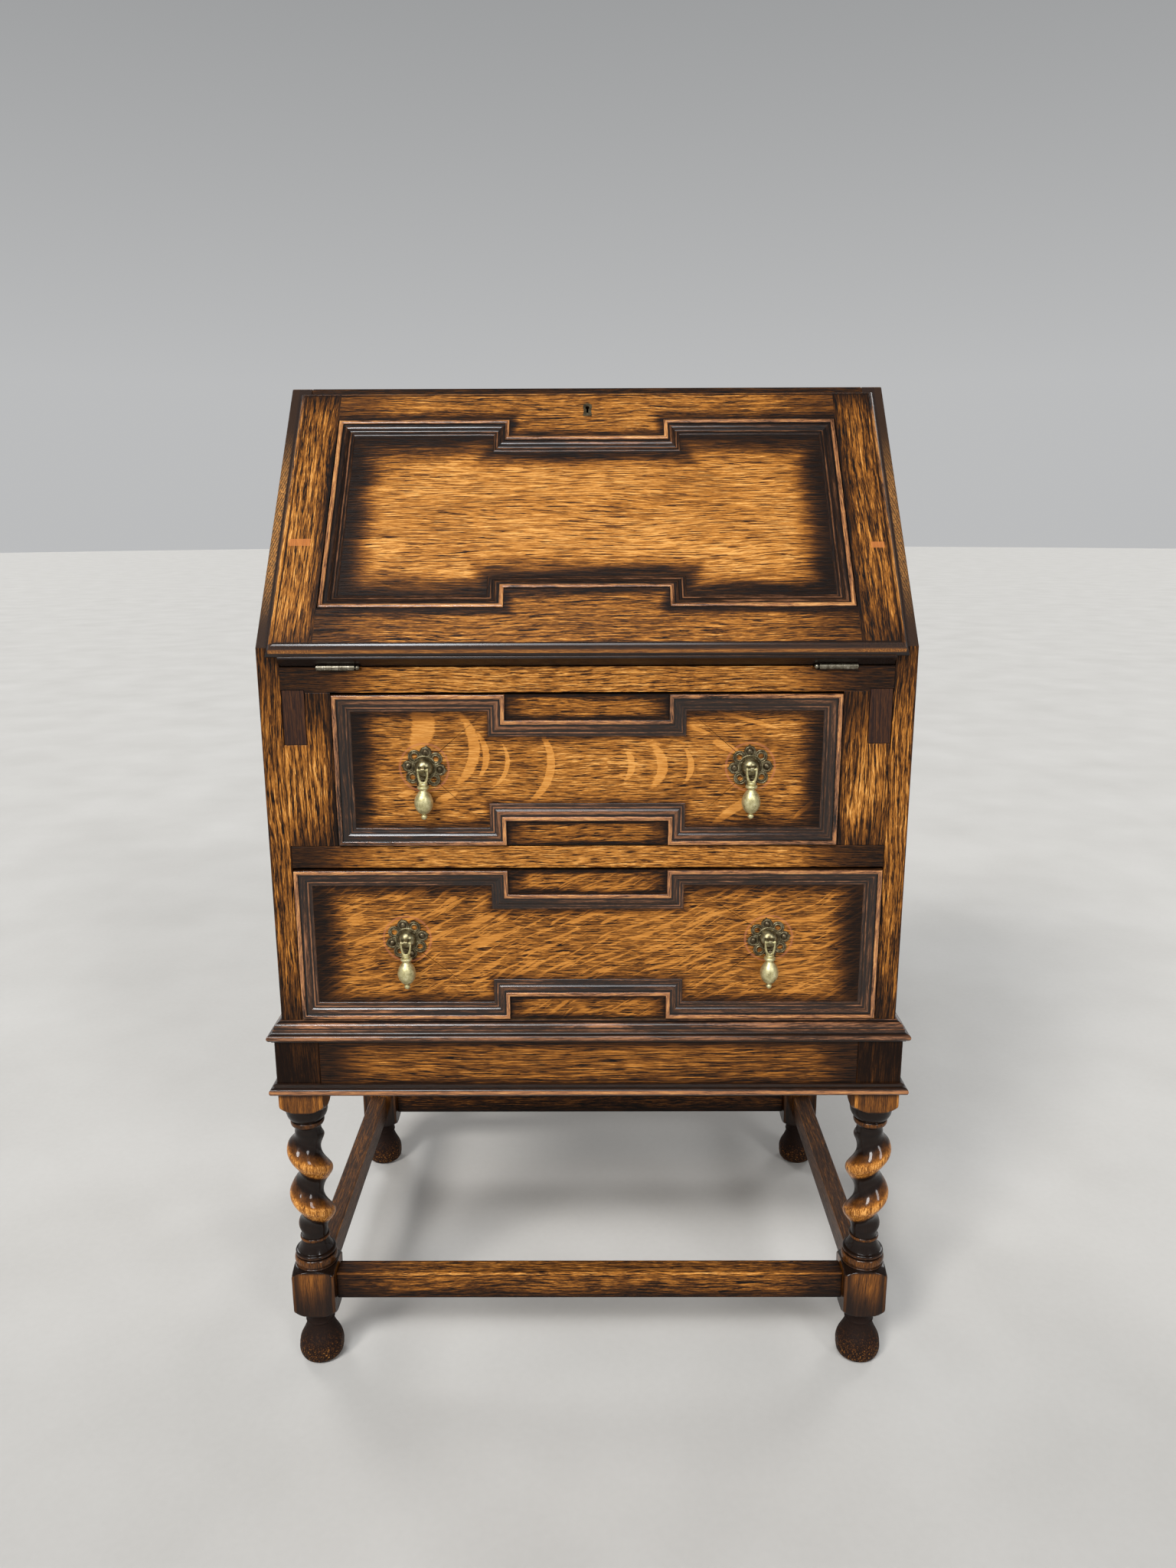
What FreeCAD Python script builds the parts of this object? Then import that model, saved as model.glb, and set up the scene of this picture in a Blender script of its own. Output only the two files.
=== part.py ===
import FreeCAD, Part
import os
import math
from FreeCAD import Vector as V

os.makedirs("parts", exist_ok=True)

# ------------------------------------------------------------------
# Oak drop-front bureau on barley-twist legs.  Millimetres, +Z up, the
# front faces -Y, x = 0 is the centre plane, z = 0 is the floor.
# Working frame: y = 0 is the face of the carcass.  Every solid is moved
# by -Y_MID at the end, so the row's origin is the bottom centre of the
# whole object's box.
# ------------------------------------------------------------------
Y_MID = 202.77              # shift that centres the whole object front to back

CASE_HALF = 305.0           # half width over the side boards
BOARD = 21.0                # side board thickness
INNER = CASE_HALF - BOARD   # inside half width, 284
CASE_DEPTH = 415.0
CASE_BOTTOM = 380.0
FLOOR_TOP = 397.5           # top of the bottom board
SLOPE_Z = 766.5             # where the slope starts on the side's front edge
TOP_Z = 1011.9              # top of the case
TOP_Y = 196.4               # where the slope meets the top
REBATE_W, REBATE_D = 10.0, 9.0

RAIL_BOT, RAIL_TOP = 725.0, 748.5
STILE_IN = 238.5
MID_BOT, MID_TOP = 554.5, 576.5
RAIL_T = 21.0

LOPER_X0, LOPER_X1 = 262.7, 283.3
LOPER_Z0, LOPER_Z1 = 675.8, 727.0
LOPER_LEN = 340.0
LOPER_TRAVEL = 250.0

# fall
PIVOT_Y, PIVOT_Z = -1.8, 748.3
FALL_PROUD = 11.0           # outer face above the slope of the side edges
FALL_THICK = 22.0
FALL_HALF = 294.5
FALL_BODY_HALF = INNER - 1.0
FALL_S0, FALL_S1 = -10.5, 303.0      # lip, along the slope
BODY_S0, BODY_S1 = -13.0, 286.6      # part that enters between the sides
F_OUT_X, F_OUT_S0, F_OUT_S1 = 249.0, 36.0, 261.0     # moulding outline
F_JOG_X, F_JOG_S0, F_JOG_S1 = 77.0, 57.5, 240.0
PANEL_DROP = 4.0

# drawers
UD = dict(half=237.4, z0=577.6, z1=723.0)
LD = dict(half=283.0, z0=398.6, z1=552.6)
JOG_X, JOG_DEPTH = 76.5, 24.0
FIELD_Y = 2.0               # drawer field behind the case face
DRAWER_T = 16.0
MOULD_W = 16.5

# stand
LEG = 44.5
LEG_X = 289.85
LEG_Y0 = 15.55
LEG_PITCH_Y = 384.4
STAND_OUT = LEG_X + LEG / 2.0        # 312.1
STAND_FRONT = LEG_Y0 - LEG / 2.0     # -6.7
STAND_REAR = LEG_Y0 + LEG_PITCH_Y + LEG / 2.0
LEG_TOP = 380.0
FRIEZE_BOT = 320.0
STR_Z0, STR_H, STR_T, STR_BACK = 75.0, 31.0, 21.0, 11.0
TWIST_PITCH = 50.0

UP_PULL_X, UP_PULL_Z = 153.7, 653.0
LO_PULL_X, LO_PULL_Z = 176.5, 481.5
PULL_Y = -9.5               # swing axis of the drops, in front of the case face
PIN_R, BORE_R = 1.20, 1.26

D = V(0, TOP_Y, TOP_Z - SLOPE_Z)
D.normalize()
N = V(0, -D.z, D.y)
P0 = V(0, 0, SLOPE_Z)

nodes = {}


def add(name, shape):
    if isinstance(shape, (list, tuple)):
        shape = Part.makeCompound(list(shape))
    nodes[name] = shape


def box(x0, x1, y0, y1, z0, z1):
    return Part.makeBox(x1 - x0, y1 - y0, z1 - z0, V(x0, y0, z0))


def poly_prism(pts, vec):
    w = Part.makePolygon([V(*p) for p in pts] + [V(*pts[0])])
    return Part.Face(w).extrude(V(*vec))


def mirror_x(s):
    return s.mirror(V(0, 0, 0), V(1, 0, 0))


def revolve(profile, x, y):
    """Turned solid about a vertical axis at x, y.  profile: (r, z) points."""
    pts = [V(r, 0, z) for r, z in profile]
    w = Part.makePolygon(pts + [pts[0]])
    s = Part.Face(w).revolve(V(0, 0, 0), V(0, 0, 1), 360)
    s.translate(V(x, y, 0))
    return s


def arc_pts(cx, cz, r, a0, a1, n=5):
    return [(cx + r * math.cos(math.radians(a0 + (a1 - a0) * i / n)),
             cz + r * math.sin(math.radians(a0 + (a1 - a0) * i / n))) for i in range(n + 1)]


def solid_of(s):
    if s.ShapeType != "Solid" and len(s.Solids) == 1:
        return s.Solids[0]
    return s


# ---------------------------------------------------------- slope frame
def sp(x, s, o):
    """Point at x, distance s up the slope, offset o out of the slope plane."""
    p = P0 + D * s + N * o
    return V(x, p.y, p.z)


def slope_box(x0, x1, s0, s1, o0, o1):
    w = Part.makePolygon([sp(x0, s0, o0), sp(x1, s0, o0), sp(x1, s1, o0), sp(x0, s1, o0), sp(x0, s0, o0)])
    return Part.Face(w).extrude(N * (o1 - o0))


# ---------------------------------------------------------- mitred mouldings
# profile: (inward distance from the outline, height above the field)
PROFILE = [(0.0, 0.0), (0.0, 4.7), (0.5, 5.3), (1.4, 5.6), (2.6, 5.6), (3.7, 5.3), (4.4, 4.6), (4.7, 3.5),
           (5.4, 3.5), (7.4, 3.4), (9.2, 2.95), (10.7, 2.2), (11.8, 1.5), (13.4, 1.4), (13.5, 0.7),
           (15.6, 0.6), (16.5, 0.0)]


def outline(half, b0, b1, jx, j0, j1):
    """Closed outline with a central jog at top and bottom, clockwise."""
    return [(-half, b1), (-jx, b1), (-jx, j1), (jx, j1), (jx, b1), (half, b1),
            (half, b0), (jx, b0), (jx, j0), (-jx, j0), (-jx, b0), (-half, b0)]


def mitred(out, to3d, up, prof=PROFILE):
    """One solid per side of the outline; to3d(a, b, h) maps plane coordinates."""
    n = len(out)
    res = []
    width = max(p[0] for p in prof)
    hmax = max(p[1] for p in prof) + 1

    def norm_in(p, q):
        dx, dy = q[0] - p[0], q[1] - p[1]
        l = math.hypot(dx, dy)
        return (dy / l, -dx / l)

    for i in range(n):
        p, q = out[i], out[(i + 1) % n]
        o, r = out[i - 1], out[(i + 2) % n]
        n0, n1, n2 = norm_in(o, p), norm_in(p, q), norm_in(q, r)
        dl = math.hypot(q[0] - p[0], q[1] - p[1])
        d = ((q[0] - p[0]) / dl, (q[1] - p[1]) / dl)
        ext = width + 2
        # long strip
        pts = []
        for a, h in prof:
            x = p[0] + n1[0] * a - d[0] * ext
            y = p[1] + n1[1] * a - d[1] * ext
            pts.append(to3d(x, y, h))
        end = to3d(p[0] + d[0] * (dl + ext), p[1] + d[1] * (dl + ext), 0)
        start = to3d(p[0] - d[0] * ext, p[1] - d[1] * ext, 0)
        strip = Part.Face(Part.makePolygon(pts + [pts[0]])).extrude(end - start)
        # mitre prism
        pi = (p[0] + (n0[0] + n1[0]) * width, p[1] + (n0[1] + n1[1]) * width)
        qi = (q[0] + (n1[0] + n2[0]) * width, q[1] + (n1[1] + n2[1]) * width)
        tr = [to3d(p[0], p[1], -1), to3d(q[0], q[1], -1), to3d(qi[0], qi[1], -1), to3d(pi[0], pi[1], -1)]
        prism = Part.Face(Part.makePolygon(tr + [tr[0]])).extrude(up * (hmax + 1))
        res.append(solid_of(strip.common(prism)))
    return res


# ================================================================ carcass
def side_panel(sign):
    prof = [(0, 0, CASE_BOTTOM), (0, 0, SLOPE_Z), (0, TOP_Y, TOP_Z), (0, CASE_DEPTH, TOP_Z), (0, CASE_DEPTH, CASE_BOTTOM)]
    x0 = INNER if sign > 0 else -CASE_HALF
    s = poly_prism([(x0, p[1], p[2]) for p in prof], (BOARD, 0, 0))
    if sign > 0:
        s = s.cut(box(INNER - 1, INNER + REBATE_W, CASE_DEPTH - REBATE_D, CASE_DEPTH + 1, CASE_BOTTOM - 1, TOP_Z - 12))
    else:
        s = s.cut(box(-INNER - REBATE_W, -INNER + 1, CASE_DEPTH - REBATE_D, CASE_DEPTH + 1, CASE_BOTTOM - 1, TOP_Z - 12))
    return solid_of(s)


add("side_panel_left", side_panel(-1))
add("side_panel_right", side_panel(1))

TB_Z = TOP_Z - BOARD
cot = D.y / D.z
tb = [(-INNER, TOP_Y - BOARD * cot, TB_Z), (-INNER, TOP_Y, TOP_Z), (-INNER, CASE_DEPTH, TOP_Z),
      (-INNER, CASE_DEPTH, TOP_Z - 12), (-INNER, CASE_DEPTH - REBATE_D, TOP_Z - 12), (-INNER, CASE_DEPTH - REBATE_D, TB_Z)]
top_board = poly_prism(tb, (2 * INNER, 0, 0))
add("back_panel", box(-INNER - REBATE_W + 0.3, INNER + REBATE_W - 0.3, CASE_DEPTH - REBATE_D, CASE_DEPTH - 0.5, CASE_BOTTOM, TOP_Z - 12.2))
add("bottom_board", box(-INNER, INNER, 0, CASE_DEPTH - REBATE_D, CASE_BOTTOM, FLOOR_TOP))

BED_BOT = 730.5
writing_bed = box(-INNER, INNER, RAIL_T, CASE_DEPTH - REBATE_D, BED_BOT, RAIL_TOP)
add("writing_bed", writing_bed)

# hinge geometry -------------------------------------------------------
KN_R = 2.8
KN_X0, KN_X1 = 214.0, 249.0
KN_N = 5
KN_L = (KN_X1 - KN_X0) / KN_N
LEAF_T = 1.3


def cyl_x(x0, x1, r, y=PIVOT_Y, z=PIVOT_Z):
    return Part.makeCylinder(r, x1 - x0, V(x0, y, z), V(1, 0, 0))


notch_r = cyl_x(KN_X0 - 6.0, KN_X1 + 1.0, KN_R + 0.5)
notches = Part.makeCompound([notch_r, mirror_x(notch_r)])

# fixed leaf lies in the top of the rail
leaf_r = box(KN_X0, KN_X1, 0.2, 17.0, RAIL_TOP - LEAF_T, RAIL_TOP)
kn_fixed = None
for i in range(KN_N):
    a = KN_X0 + i * KN_L + (0.15 if i else 0)
    b = KN_X0 + (i + 1) * KN_L - (0.15 if i < KN_N - 1 else 0)
    if i % 2 == 0:
        c = cyl_x(a, b, KN_R)
        leaf_r = leaf_r.fuse(c)
    else:
        leaf_r = leaf_r.cut(cyl_x(a - 0.3, b + 0.3, KN_R + 0.35))
leaf_r = leaf_r.cut(cyl_x(KN_X0 - 1, KN_X1 + 1, BORE_R))

# moving leaf lies in the inner face of the fall
O_IN = FALL_PROUD - FALL_THICK        # -11, inner face offset
piv_s = V(0, PIVOT_Y, PIVOT_Z - SLOPE_Z).dot(D)
piv_o = V(0, PIVOT_Y, PIVOT_Z - SLOPE_Z).dot(N)
leaf_f = slope_box(KN_X0, KN_X1, piv_s + 1.6, piv_s + 20.0, O_IN, O_IN + LEAF_T)
for i in range(KN_N):
    a = KN_X0 + i * KN_L + (0.15 if i else 0)
    b = KN_X0 + (i + 1) * KN_L - (0.15 if i < KN_N - 1 else 0)
    if i % 2 == 1:
        leaf_f = leaf_f.fuse(cyl_x(a, b, KN_R))
    else:
        leaf_f = leaf_f.cut(cyl_x(a - 0.3, b + 0.3, KN_R + 0.35))
leaf_f = leaf_f.cut(cyl_x(KN_X0 - 1, KN_X1 + 1, BORE_R))

pin = cyl_x(KN_X0 - 1.4, KN_X1 + 0.6, PIN_R).fuse(Part.makeSphere(2.3, V(KN_X0 - 2.6, PIVOT_Y, PIVOT_Z)))


def screw(p, d, head_r=2.9, shank_r=1.5, length=12.0):
    """Countersunk screw: head flush at p, shank along d."""
    c = Part.makeCone(head_r, shank_r, 1.6, p, d)
    b = Part.makeCylinder(shank_r, length - 1.2, p + d * 1.2, d)
    s = c.fuse(b)
    slot = Part.makeBox(2 * head_r + 1, 0.6, 0.5)
    slot.translate(V(-head_r - 0.5, -0.3, -0.01))
    m = FreeCAD.Placement(p, FreeCAD.Rotation(V(0, 0, 1), d))
    slot.Placement = m.multiply(slot.Placement)
    return solid_of(s.cut(slot))


scr_rail = [screw(V(x, 11.0, RAIL_TOP), V(0, 0, -1)) for x in (KN_X0 + 6, (KN_X0 + KN_X1) / 2, KN_X1 - 6)]
scr_fall = [screw(sp(x, piv_s + 13.5, O_IN), N) for x in (KN_X0 + 6, (KN_X0 + KN_X1) / 2, KN_X1 - 6)]


def solid_screw(p, d, head_r=2.9, shank_r=1.5, length=12.0):
    return Part.makeCone(head_r, shank_r, 1.6, p, d).fuse(Part.makeCylinder(shank_r, length - 1.2, p + d * 1.2, d))


hole_rail = Part.makeCompound([solid_screw(V(x, 11.0, RAIL_TOP), V(0, 0, -1)) for x in (KN_X0 + 6, (KN_X0 + KN_X1) / 2, KN_X1 - 6)])
hole_fall = Part.makeCompound([solid_screw(sp(x, piv_s + 13.5, O_IN), N) for x in (KN_X0 + 6, (KN_X0 + KN_X1) / 2, KN_X1 - 6)])
leaf_r = solid_of(leaf_r.cut(hole_rail))
leaf_f = solid_of(leaf_f.cut(hole_fall))
add("hinge_leaves_rail", [leaf_r, mirror_x(leaf_r)])
add("hinge_leaves_fall", [leaf_f, mirror_x(leaf_f)])
add("hinge_pins", [solid_of(pin), mirror_x(solid_of(pin))])
add("hinge_screws_rail", scr_rail + [mirror_x(s) for s in scr_rail])

# top rail -------------------------------------------------------------
top_rail = box(-INNER, INNER, 0, RAIL_T, RAIL_BOT, RAIL_TOP)
for sg in (1, -1):
    a, b = sorted((sg * (LOPER_X0 - 0.5), sg * (INNER + 1)))
    top_rail = top_rail.cut(box(a, b, -1, RAIL_T + 1, RAIL_BOT - 1, LOPER_Z1 + 0.4))
top_rail = top_rail.cut(notches)
lp = box(KN_X0, KN_X1, -1, 17.0, RAIL_TOP - LEAF_T, RAIL_TOP + 1)
top_rail = top_rail.cut(lp).cut(mirror_x(lp)).cut(hole_rail).cut(mirror_x(hole_rail))
add("top_rail", solid_of(top_rail))

# front stiles, notched for the lopers
st = box(STILE_IN, INNER, 0, RAIL_T, MID_TOP, RAIL_BOT)
st = st.cut(box(LOPER_X0 - 0.5, INNER + 1, -1, RAIL_T + 1, LOPER_Z0 - 0.4, RAIL_BOT + 1))
add("front_stiles", [mirror_x(solid_of(st)), solid_of(st)])
add("mid_rail", box(-INNER, INNER, 0, RAIL_T, MID_BOT, MID_TOP))

# inside the case
run = box(222.0, INNER, RAIL_T, CASE_DEPTH - REBATE_D, MID_TOP - 16.0, MID_TOP)
gui = box(238.2, 262.0, RAIL_T, CASE_DEPTH - REBATE_D - 2, MID_TOP, MID_TOP + 24)
add("drawer_runners", [run, mirror_x(run), gui, mirror_x(gui)])
lb = box(251.0, INNER, RAIL_T, CASE_DEPTH - REBATE_D - 2, LOPER_Z0 - 18.0, LOPER_Z0 - 0.4)
add("loper_bearers", [lb, mirror_x(lb)])
ls0 = box(251.0, LOPER_X0 - 0.5, RAIL_T, CASE_DEPTH - REBATE_D - 2, LOPER_Z0 - 0.4, 696.0)
ls1 = box(251.0, LOPER_X0 - 0.5, RAIL_T, CASE_DEPTH - REBATE_D - 2, 708.0, BED_BOT)
add("loper_guide_strips", [ls0, mirror_x(ls0), ls1, mirror_x(ls1)])
ds = box(90, 130, 18.6, 34, FLOOR_TOP, FLOOR_TOP + 5.5)
du = box(90, 130, 19.0, 34, MID_TOP - 4, MID_TOP + 5.0).cut(box(80, 140, 10, RAIL_T, MID_TOP - 6, MID_TOP))
add("drawer_stops", [ds, mirror_x(ds), solid_of(du), mirror_x(solid_of(du))])

# fitted interior
PH_Y0, PH_Y1 = 232.0, CASE_DEPTH - REBATE_D
PH_T = 7.0
shelf = box(-INNER, INNER, PH_Y0, PH_Y1, 838.0, 838.0 + PH_T)
parts_ph = [shelf]
for x in (-190.0, -95.0, 95.0, 190.0):
    parts_ph.append(box(x - PH_T / 2, x + PH_T / 2, PH_Y0, PH_Y1, 838.0 + PH_T, TB_Z))
for x in (-95.0, 95.0):
    parts_ph.append(box(x - PH_T / 2, x + PH_T / 2, PH_Y0, PH_Y1, RAIL_TOP, 838.0))
add("pigeonholes", parts_ph)

# ================================================================ lopers
def loper(sign):
    s = box(LOPER_X0, LOPER_X1, 0.0, LOPER_LEN, LOPER_Z0, LOPER_Z1)
    hole = Part.makeCylinder(4.0, 14.0, V(LOPER_X0 - 1, 279.0, 702.0), V(1, 0, 0))
    s = s.cut(hole)
    peg = Part.makeCylinder(4.0, 13.0 + 9.0, V(LOPER_X0 - 9.0, 279.0, 702.0), V(1, 0, 0))
    if sign < 0:
        s, peg = mirror_x(s), mirror_x(peg)
    return solid_of(s), solid_of(peg)


for sg, nm in ((-1, "left"), (1, "right")):
    a, b = loper(sg)
    add("loper_" + nm, a)
    add("loper_peg_" + nm, b)

# ================================================================ fall
O_OUT = FALL_PROUD
# outer edge: fillet and ovolo worked all round the face
FILLET_IN = 8.5
OV = [(FILLET_IN, O_OUT), (FILLET_IN, O_OUT - 0.9), (FILLET_IN - 1.9, O_OUT - 1.3), (FILLET_IN - 3.9, O_OUT - 2.4),
      (FILLET_IN - 5.7, O_OUT - 4.0), (FILLET_IN - 7.2, O_OUT - 6.1), (FILLET_IN - 8.1, O_OUT - 8.2), (0.0, O_OUT - 9.4)]


def edge_cutter_side():
    """What is removed along the right-hand edge (x = FALL_HALF)."""
    pts = [sp(FALL_HALF - a, -40, o) for a, o in OV] + [sp(FALL_HALF + 2, -40, OV[-1][1]), sp(FALL_HALF + 2, -40, O_OUT + 2),
                                                       sp(FALL_HALF - FILLET_IN, -40, O_OUT + 2)]
    return Part.Face(Part.makePolygon(pts + [pts[0]])).extrude(D * 400)


def edge_cutter_s(s_edge, sgn):
    pts = [sp(-320, s_edge + sgn * a, o) for a, o in OV] + [sp(-320, s_edge - sgn * 5, OV[-1][1]), sp(-320, s_edge - sgn * 5, O_OUT + 2),
                                                           sp(-320, s_edge + sgn * FILLET_IN, O_OUT + 2)]
    return Part.Face(Part.makePolygon(pts + [pts[0]])).extrude(V(640, 0, 0))


cut_r = edge_cutter_side()
cut_l = mirror_x(cut_r)
cut_b = edge_cutter_s(FALL_S0, 1)
cut_t = edge_cutter_s(FALL_S1, -1)
LIP_O = 0.4
STILE_X = 250.0

fs = slope_box(STILE_X, FALL_HALF, FALL_S0, FALL_S1, LIP_O, O_OUT)
fs = fs.fuse(slope_box(STILE_X, FALL_BODY_HALF, BODY_S0, BODY_S1, O_IN, LIP_O)).removeSplitter()
fs = fs.fuse(slope_box(STILE_X, FALL_BODY_HALF, BODY_S0, FALL_S0, LIP_O, O_OUT - 9.4)).removeSplitter()
fs = fs.cut(cut_r).cut(cut_b).cut(cut_t)
fs = solid_of(fs)
add("fall_stiles", [mirror_x(fs), fs])

RB1, RT0 = F_OUT_S0, F_OUT_S1
O_PANEL = O_OUT - PANEL_DROP
frb = slope_box(-STILE_X, STILE_X, FALL_S0, RB1, LIP_O, O_OUT)
frb = frb.fuse(slope_box(-STILE_X, STILE_X, BODY_S0, RB1, O_IN, LIP_O)).removeSplitter()
frb = frb.fuse(slope_box(-STILE_X, STILE_X, BODY_S0, FALL_S0, LIP_O, O_OUT - 9.4)).removeSplitter()
frb = frb.fuse(slope_box(-F_JOG_X, F_JOG_X, RB1 - 1, F_JOG_S0, O_PANEL, O_OUT)).removeSplitter()
leaf_bed = slope_box(KN_X0, KN_X1, BODY_S0 - 1, piv_s + 20.0, O_IN - 1, O_IN + LEAF_T)
frb = frb.cut(cut_b).cut(notches)
frb = frb.cut(leaf_bed).cut(mirror_x(leaf_bed)).cut(hole_fall).cut(mirror_x(hole_fall))
add("fall_rail_bottom", solid_of(frb))
add("hinge_screws_fall", scr_fall + [mirror_x(s) for s in scr_fall])

frt = slope_box(-STILE_X, STILE_X, RT0, FALL_S1, LIP_O, O_OUT)
frt = frt.fuse(slope_box(-STILE_X, STILE_X, RT0, BODY_S1, O_IN, LIP_O)).removeSplitter()
frt = frt.fuse(slope_box(-F_JOG_X, F_JOG_X, F_JOG_S1, RT0 + 1, O_PANEL, O_OUT)).removeSplitter()
frt = frt.cut(cut_t)

panel = slope_box(-STILE_X, STILE_X, RB1, RT0, O_IN, O_PANEL)

# lock, let into the inside of the top rail
LK_S0, LK_S1 = 263.0, 285.4
LK_O1 = O_IN + 9.0
lock_pocket = slope_box(-28.0, 28.0, LK_S0, BODY_S1 + 1, O_IN - 1, LK_O1)
case_ = slope_box(-28.0, 28.0, LK_S0, BODY_S1, O_IN, LK_O1)
BOLT_O0, BOLT_O1 = O_IN + 3.6, O_IN + 7.4
case_ = case_.cut(slope_box(-8.3, 8.3, LK_S0 + 2.5, BODY_S1 + 1, BOLT_O0 - 0.3, BOLT_O1 + 0.3))
bolt = slope_box(-8.0, 8.0, LK_S0 + 6.0, BODY_S1 - 0.3, BOLT_O0, BOLT_O1)
key_c = sp(0.8, 277.0, 0)
key_hole = Part.makeCylinder(2.1, 60, sp(0.8, 277.0, -3.0), N).fuse(slope_box(0.8 - 1.0, 0.8 + 1.0, 270.5, 277.0, -3.0, 40))
case_ = case_.cut(Part.makeCylinder(2.1, 2.4, sp(0.8, 277.0, LK_O1 - 1.2), N))
add("lock_case", solid_of(case_))
add("lock_bolt", solid_of(bolt))

# keyhole insert: round top, slightly wider foot
ES = [(-4.2, 266.2), (-4.5, 267.4), (-3.7, 272.5), (-3.9, 276.0)]
ep = [(0.8 + a, s) for a, s in ES]
top = [(0.8 + 4.6 * math.cos(math.radians(a)), 278.6 + 4.6 * math.sin(math.radians(a))) for a in range(200, -21, -20)]
ep = ep + top + [(0.8 - a, s) for a, s in reversed(ES)]
eo = [sp(x, s, O_OUT - 2.0) for x, s in ep]
esc = Part.Face(Part.makePolygon(eo + [eo[0]])).extrude(N * 2.4)
esc_pocket = Part.Face(Part.makePolygon(eo + [eo[0]])).extrude(N * 6.0)
esc = esc.cut(key_hole)
add("escutcheon", solid_of(esc))
frt = frt.cut(lock_pocket).cut(esc_pocket).cut(key_hole)
add("fall_rail_top", solid_of(frt))
add("fall_panel", solid_of(panel))

f_out = outline(F_OUT_X, F_OUT_S0, F_OUT_S1, F_JOG_X, F_JOG_S0, F_JOG_S1)
add("fall_moulding", mitred(f_out, lambda a, b, h: sp(a, b, O_PANEL + h), N))

# strike plate and bolt pocket under the top board
bolt_out = slope_box(-8.8, 8.8, 280.0, BODY_S1 + 7.2, BOLT_O0 - 0.8, BOLT_O1 + 0.8)
stk_y0 = sp(0, 0, 0).y + (TB_Z - SLOPE_Z) / D.z * D.y + 1.5
strike = box(-20, 20, stk_y0, stk_y0 + 17.0, TB_Z, TB_Z + 1.2)
top_board = top_board.cut(bolt_out).cut(strike)
strike = strike.cut(bolt_out)
add("strike_plate", solid_of(strike))
add("top_board", solid_of(top_board))


# ================================================================ drawers
def handle_post(x, z):
    """Dome on the plate, tongue with a cross hole, shank through the front."""
    dome = Part.makeSphere(9.6, V(x, 0.9 + 2.4, z))
    dome = dome.common(box(x - 12, x + 12, -12, 0.8, z - 12, z + 12))
    tongue = box(x - 1.6, x + 1.6, PULL_Y, 0.5, z - 2.6, z + 2.6)
    tongue = tongue.fuse(Part.makeCylinder(2.6, 3.2, V(x - 1.6, PULL_Y, z), V(1, 0, 0)))
    # hollow in the dome's face that the shackle hangs in
    hollow = box(x - 4.9, x + 4.9, -12, -3.4, z - 12, z + 2.8)
    dome = dome.cut(hollow)
    s = dome.fuse(tongue).fuse(Part.makeCylinder(2.4, FIELD_Y + DRAWER_T + 8.0, V(x, 0, z), V(0, 1, 0)))
    s = s.cut(Part.makeCylinder(BORE_R - 0.20, 12, V(x - 6, PULL_Y, z), V(1, 0, 0)))
    nut = Part.makeBox(10, 3.0, 10, V(x - 5, FIELD_Y + DRAWER_T, z - 5)).cut(
        Part.makeCylinder(2.4, 10, V(x, FIELD_Y + DRAWER_T - 1, z), V(0, 1, 0)))
    return solid_of(s), solid_of(nut)


def backplate(x, z, tilt):
    """Rosette: four pointed lobes with bosses, four pierced round lobes."""
    y0, y1 = FIELD_Y - 1.2, FIELD_Y
    s = Part.makeCylinder(15.0, 1.2, V(x, y0, z), V(0, 1, 0))
    for k in range(8):
        a = math.radians(90 + tilt + 45 * k)
        if k % 2 == 0:
            c = V(x + 15.0 * math.cos(a), y0, z + 15.0 * math.sin(a))
            s = s.fuse(Part.makeCylinder(5.6, 1.2, c, V(0, 1, 0)))
            t = [V(x + 15.0 * math.cos(a) - 5.2 * math.sin(a), y0, z + 15.0 * math.sin(a) + 5.2 * math.cos(a)),
                 V(x + 22.0 * math.cos(a), y0, z + 22.0 * math.sin(a)),
                 V(x + 15.0 * math.cos(a) + 5.2 * math.sin(a), y0, z + 15.0 * math.sin(a) - 5.2 * math.cos(a))]
            s = s.fuse(Part.Face(Part.makePolygon(t + [t[0]])).extrude(V(0, 1.2, 0)))
            s = s.fuse(Part.makeSphere(3.4, V(c.x, y0 + 1.4, c.z)).common(box(c.x - 5, c.x + 5, y0 - 5, y1, c.z - 5, c.z + 5)))
        else:
            c = V(x + 14.2 * math.cos(a), y0, z + 14.2 * math.sin(a))
            s = s.fuse(Part.makeCylinder(6.2, 1.2, c, V(0, 1, 0)))
            s = s.cut(Part.makeCylinder(2.7, 8, V(c.x, y0 - 3, c.z), V(0, 1, 0)))
    s = s.cut(Part.makeCylinder(2.45, 8, V(x, y0 - 3, z), V(0, 1, 0)))
    return solid_of(s)


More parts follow.
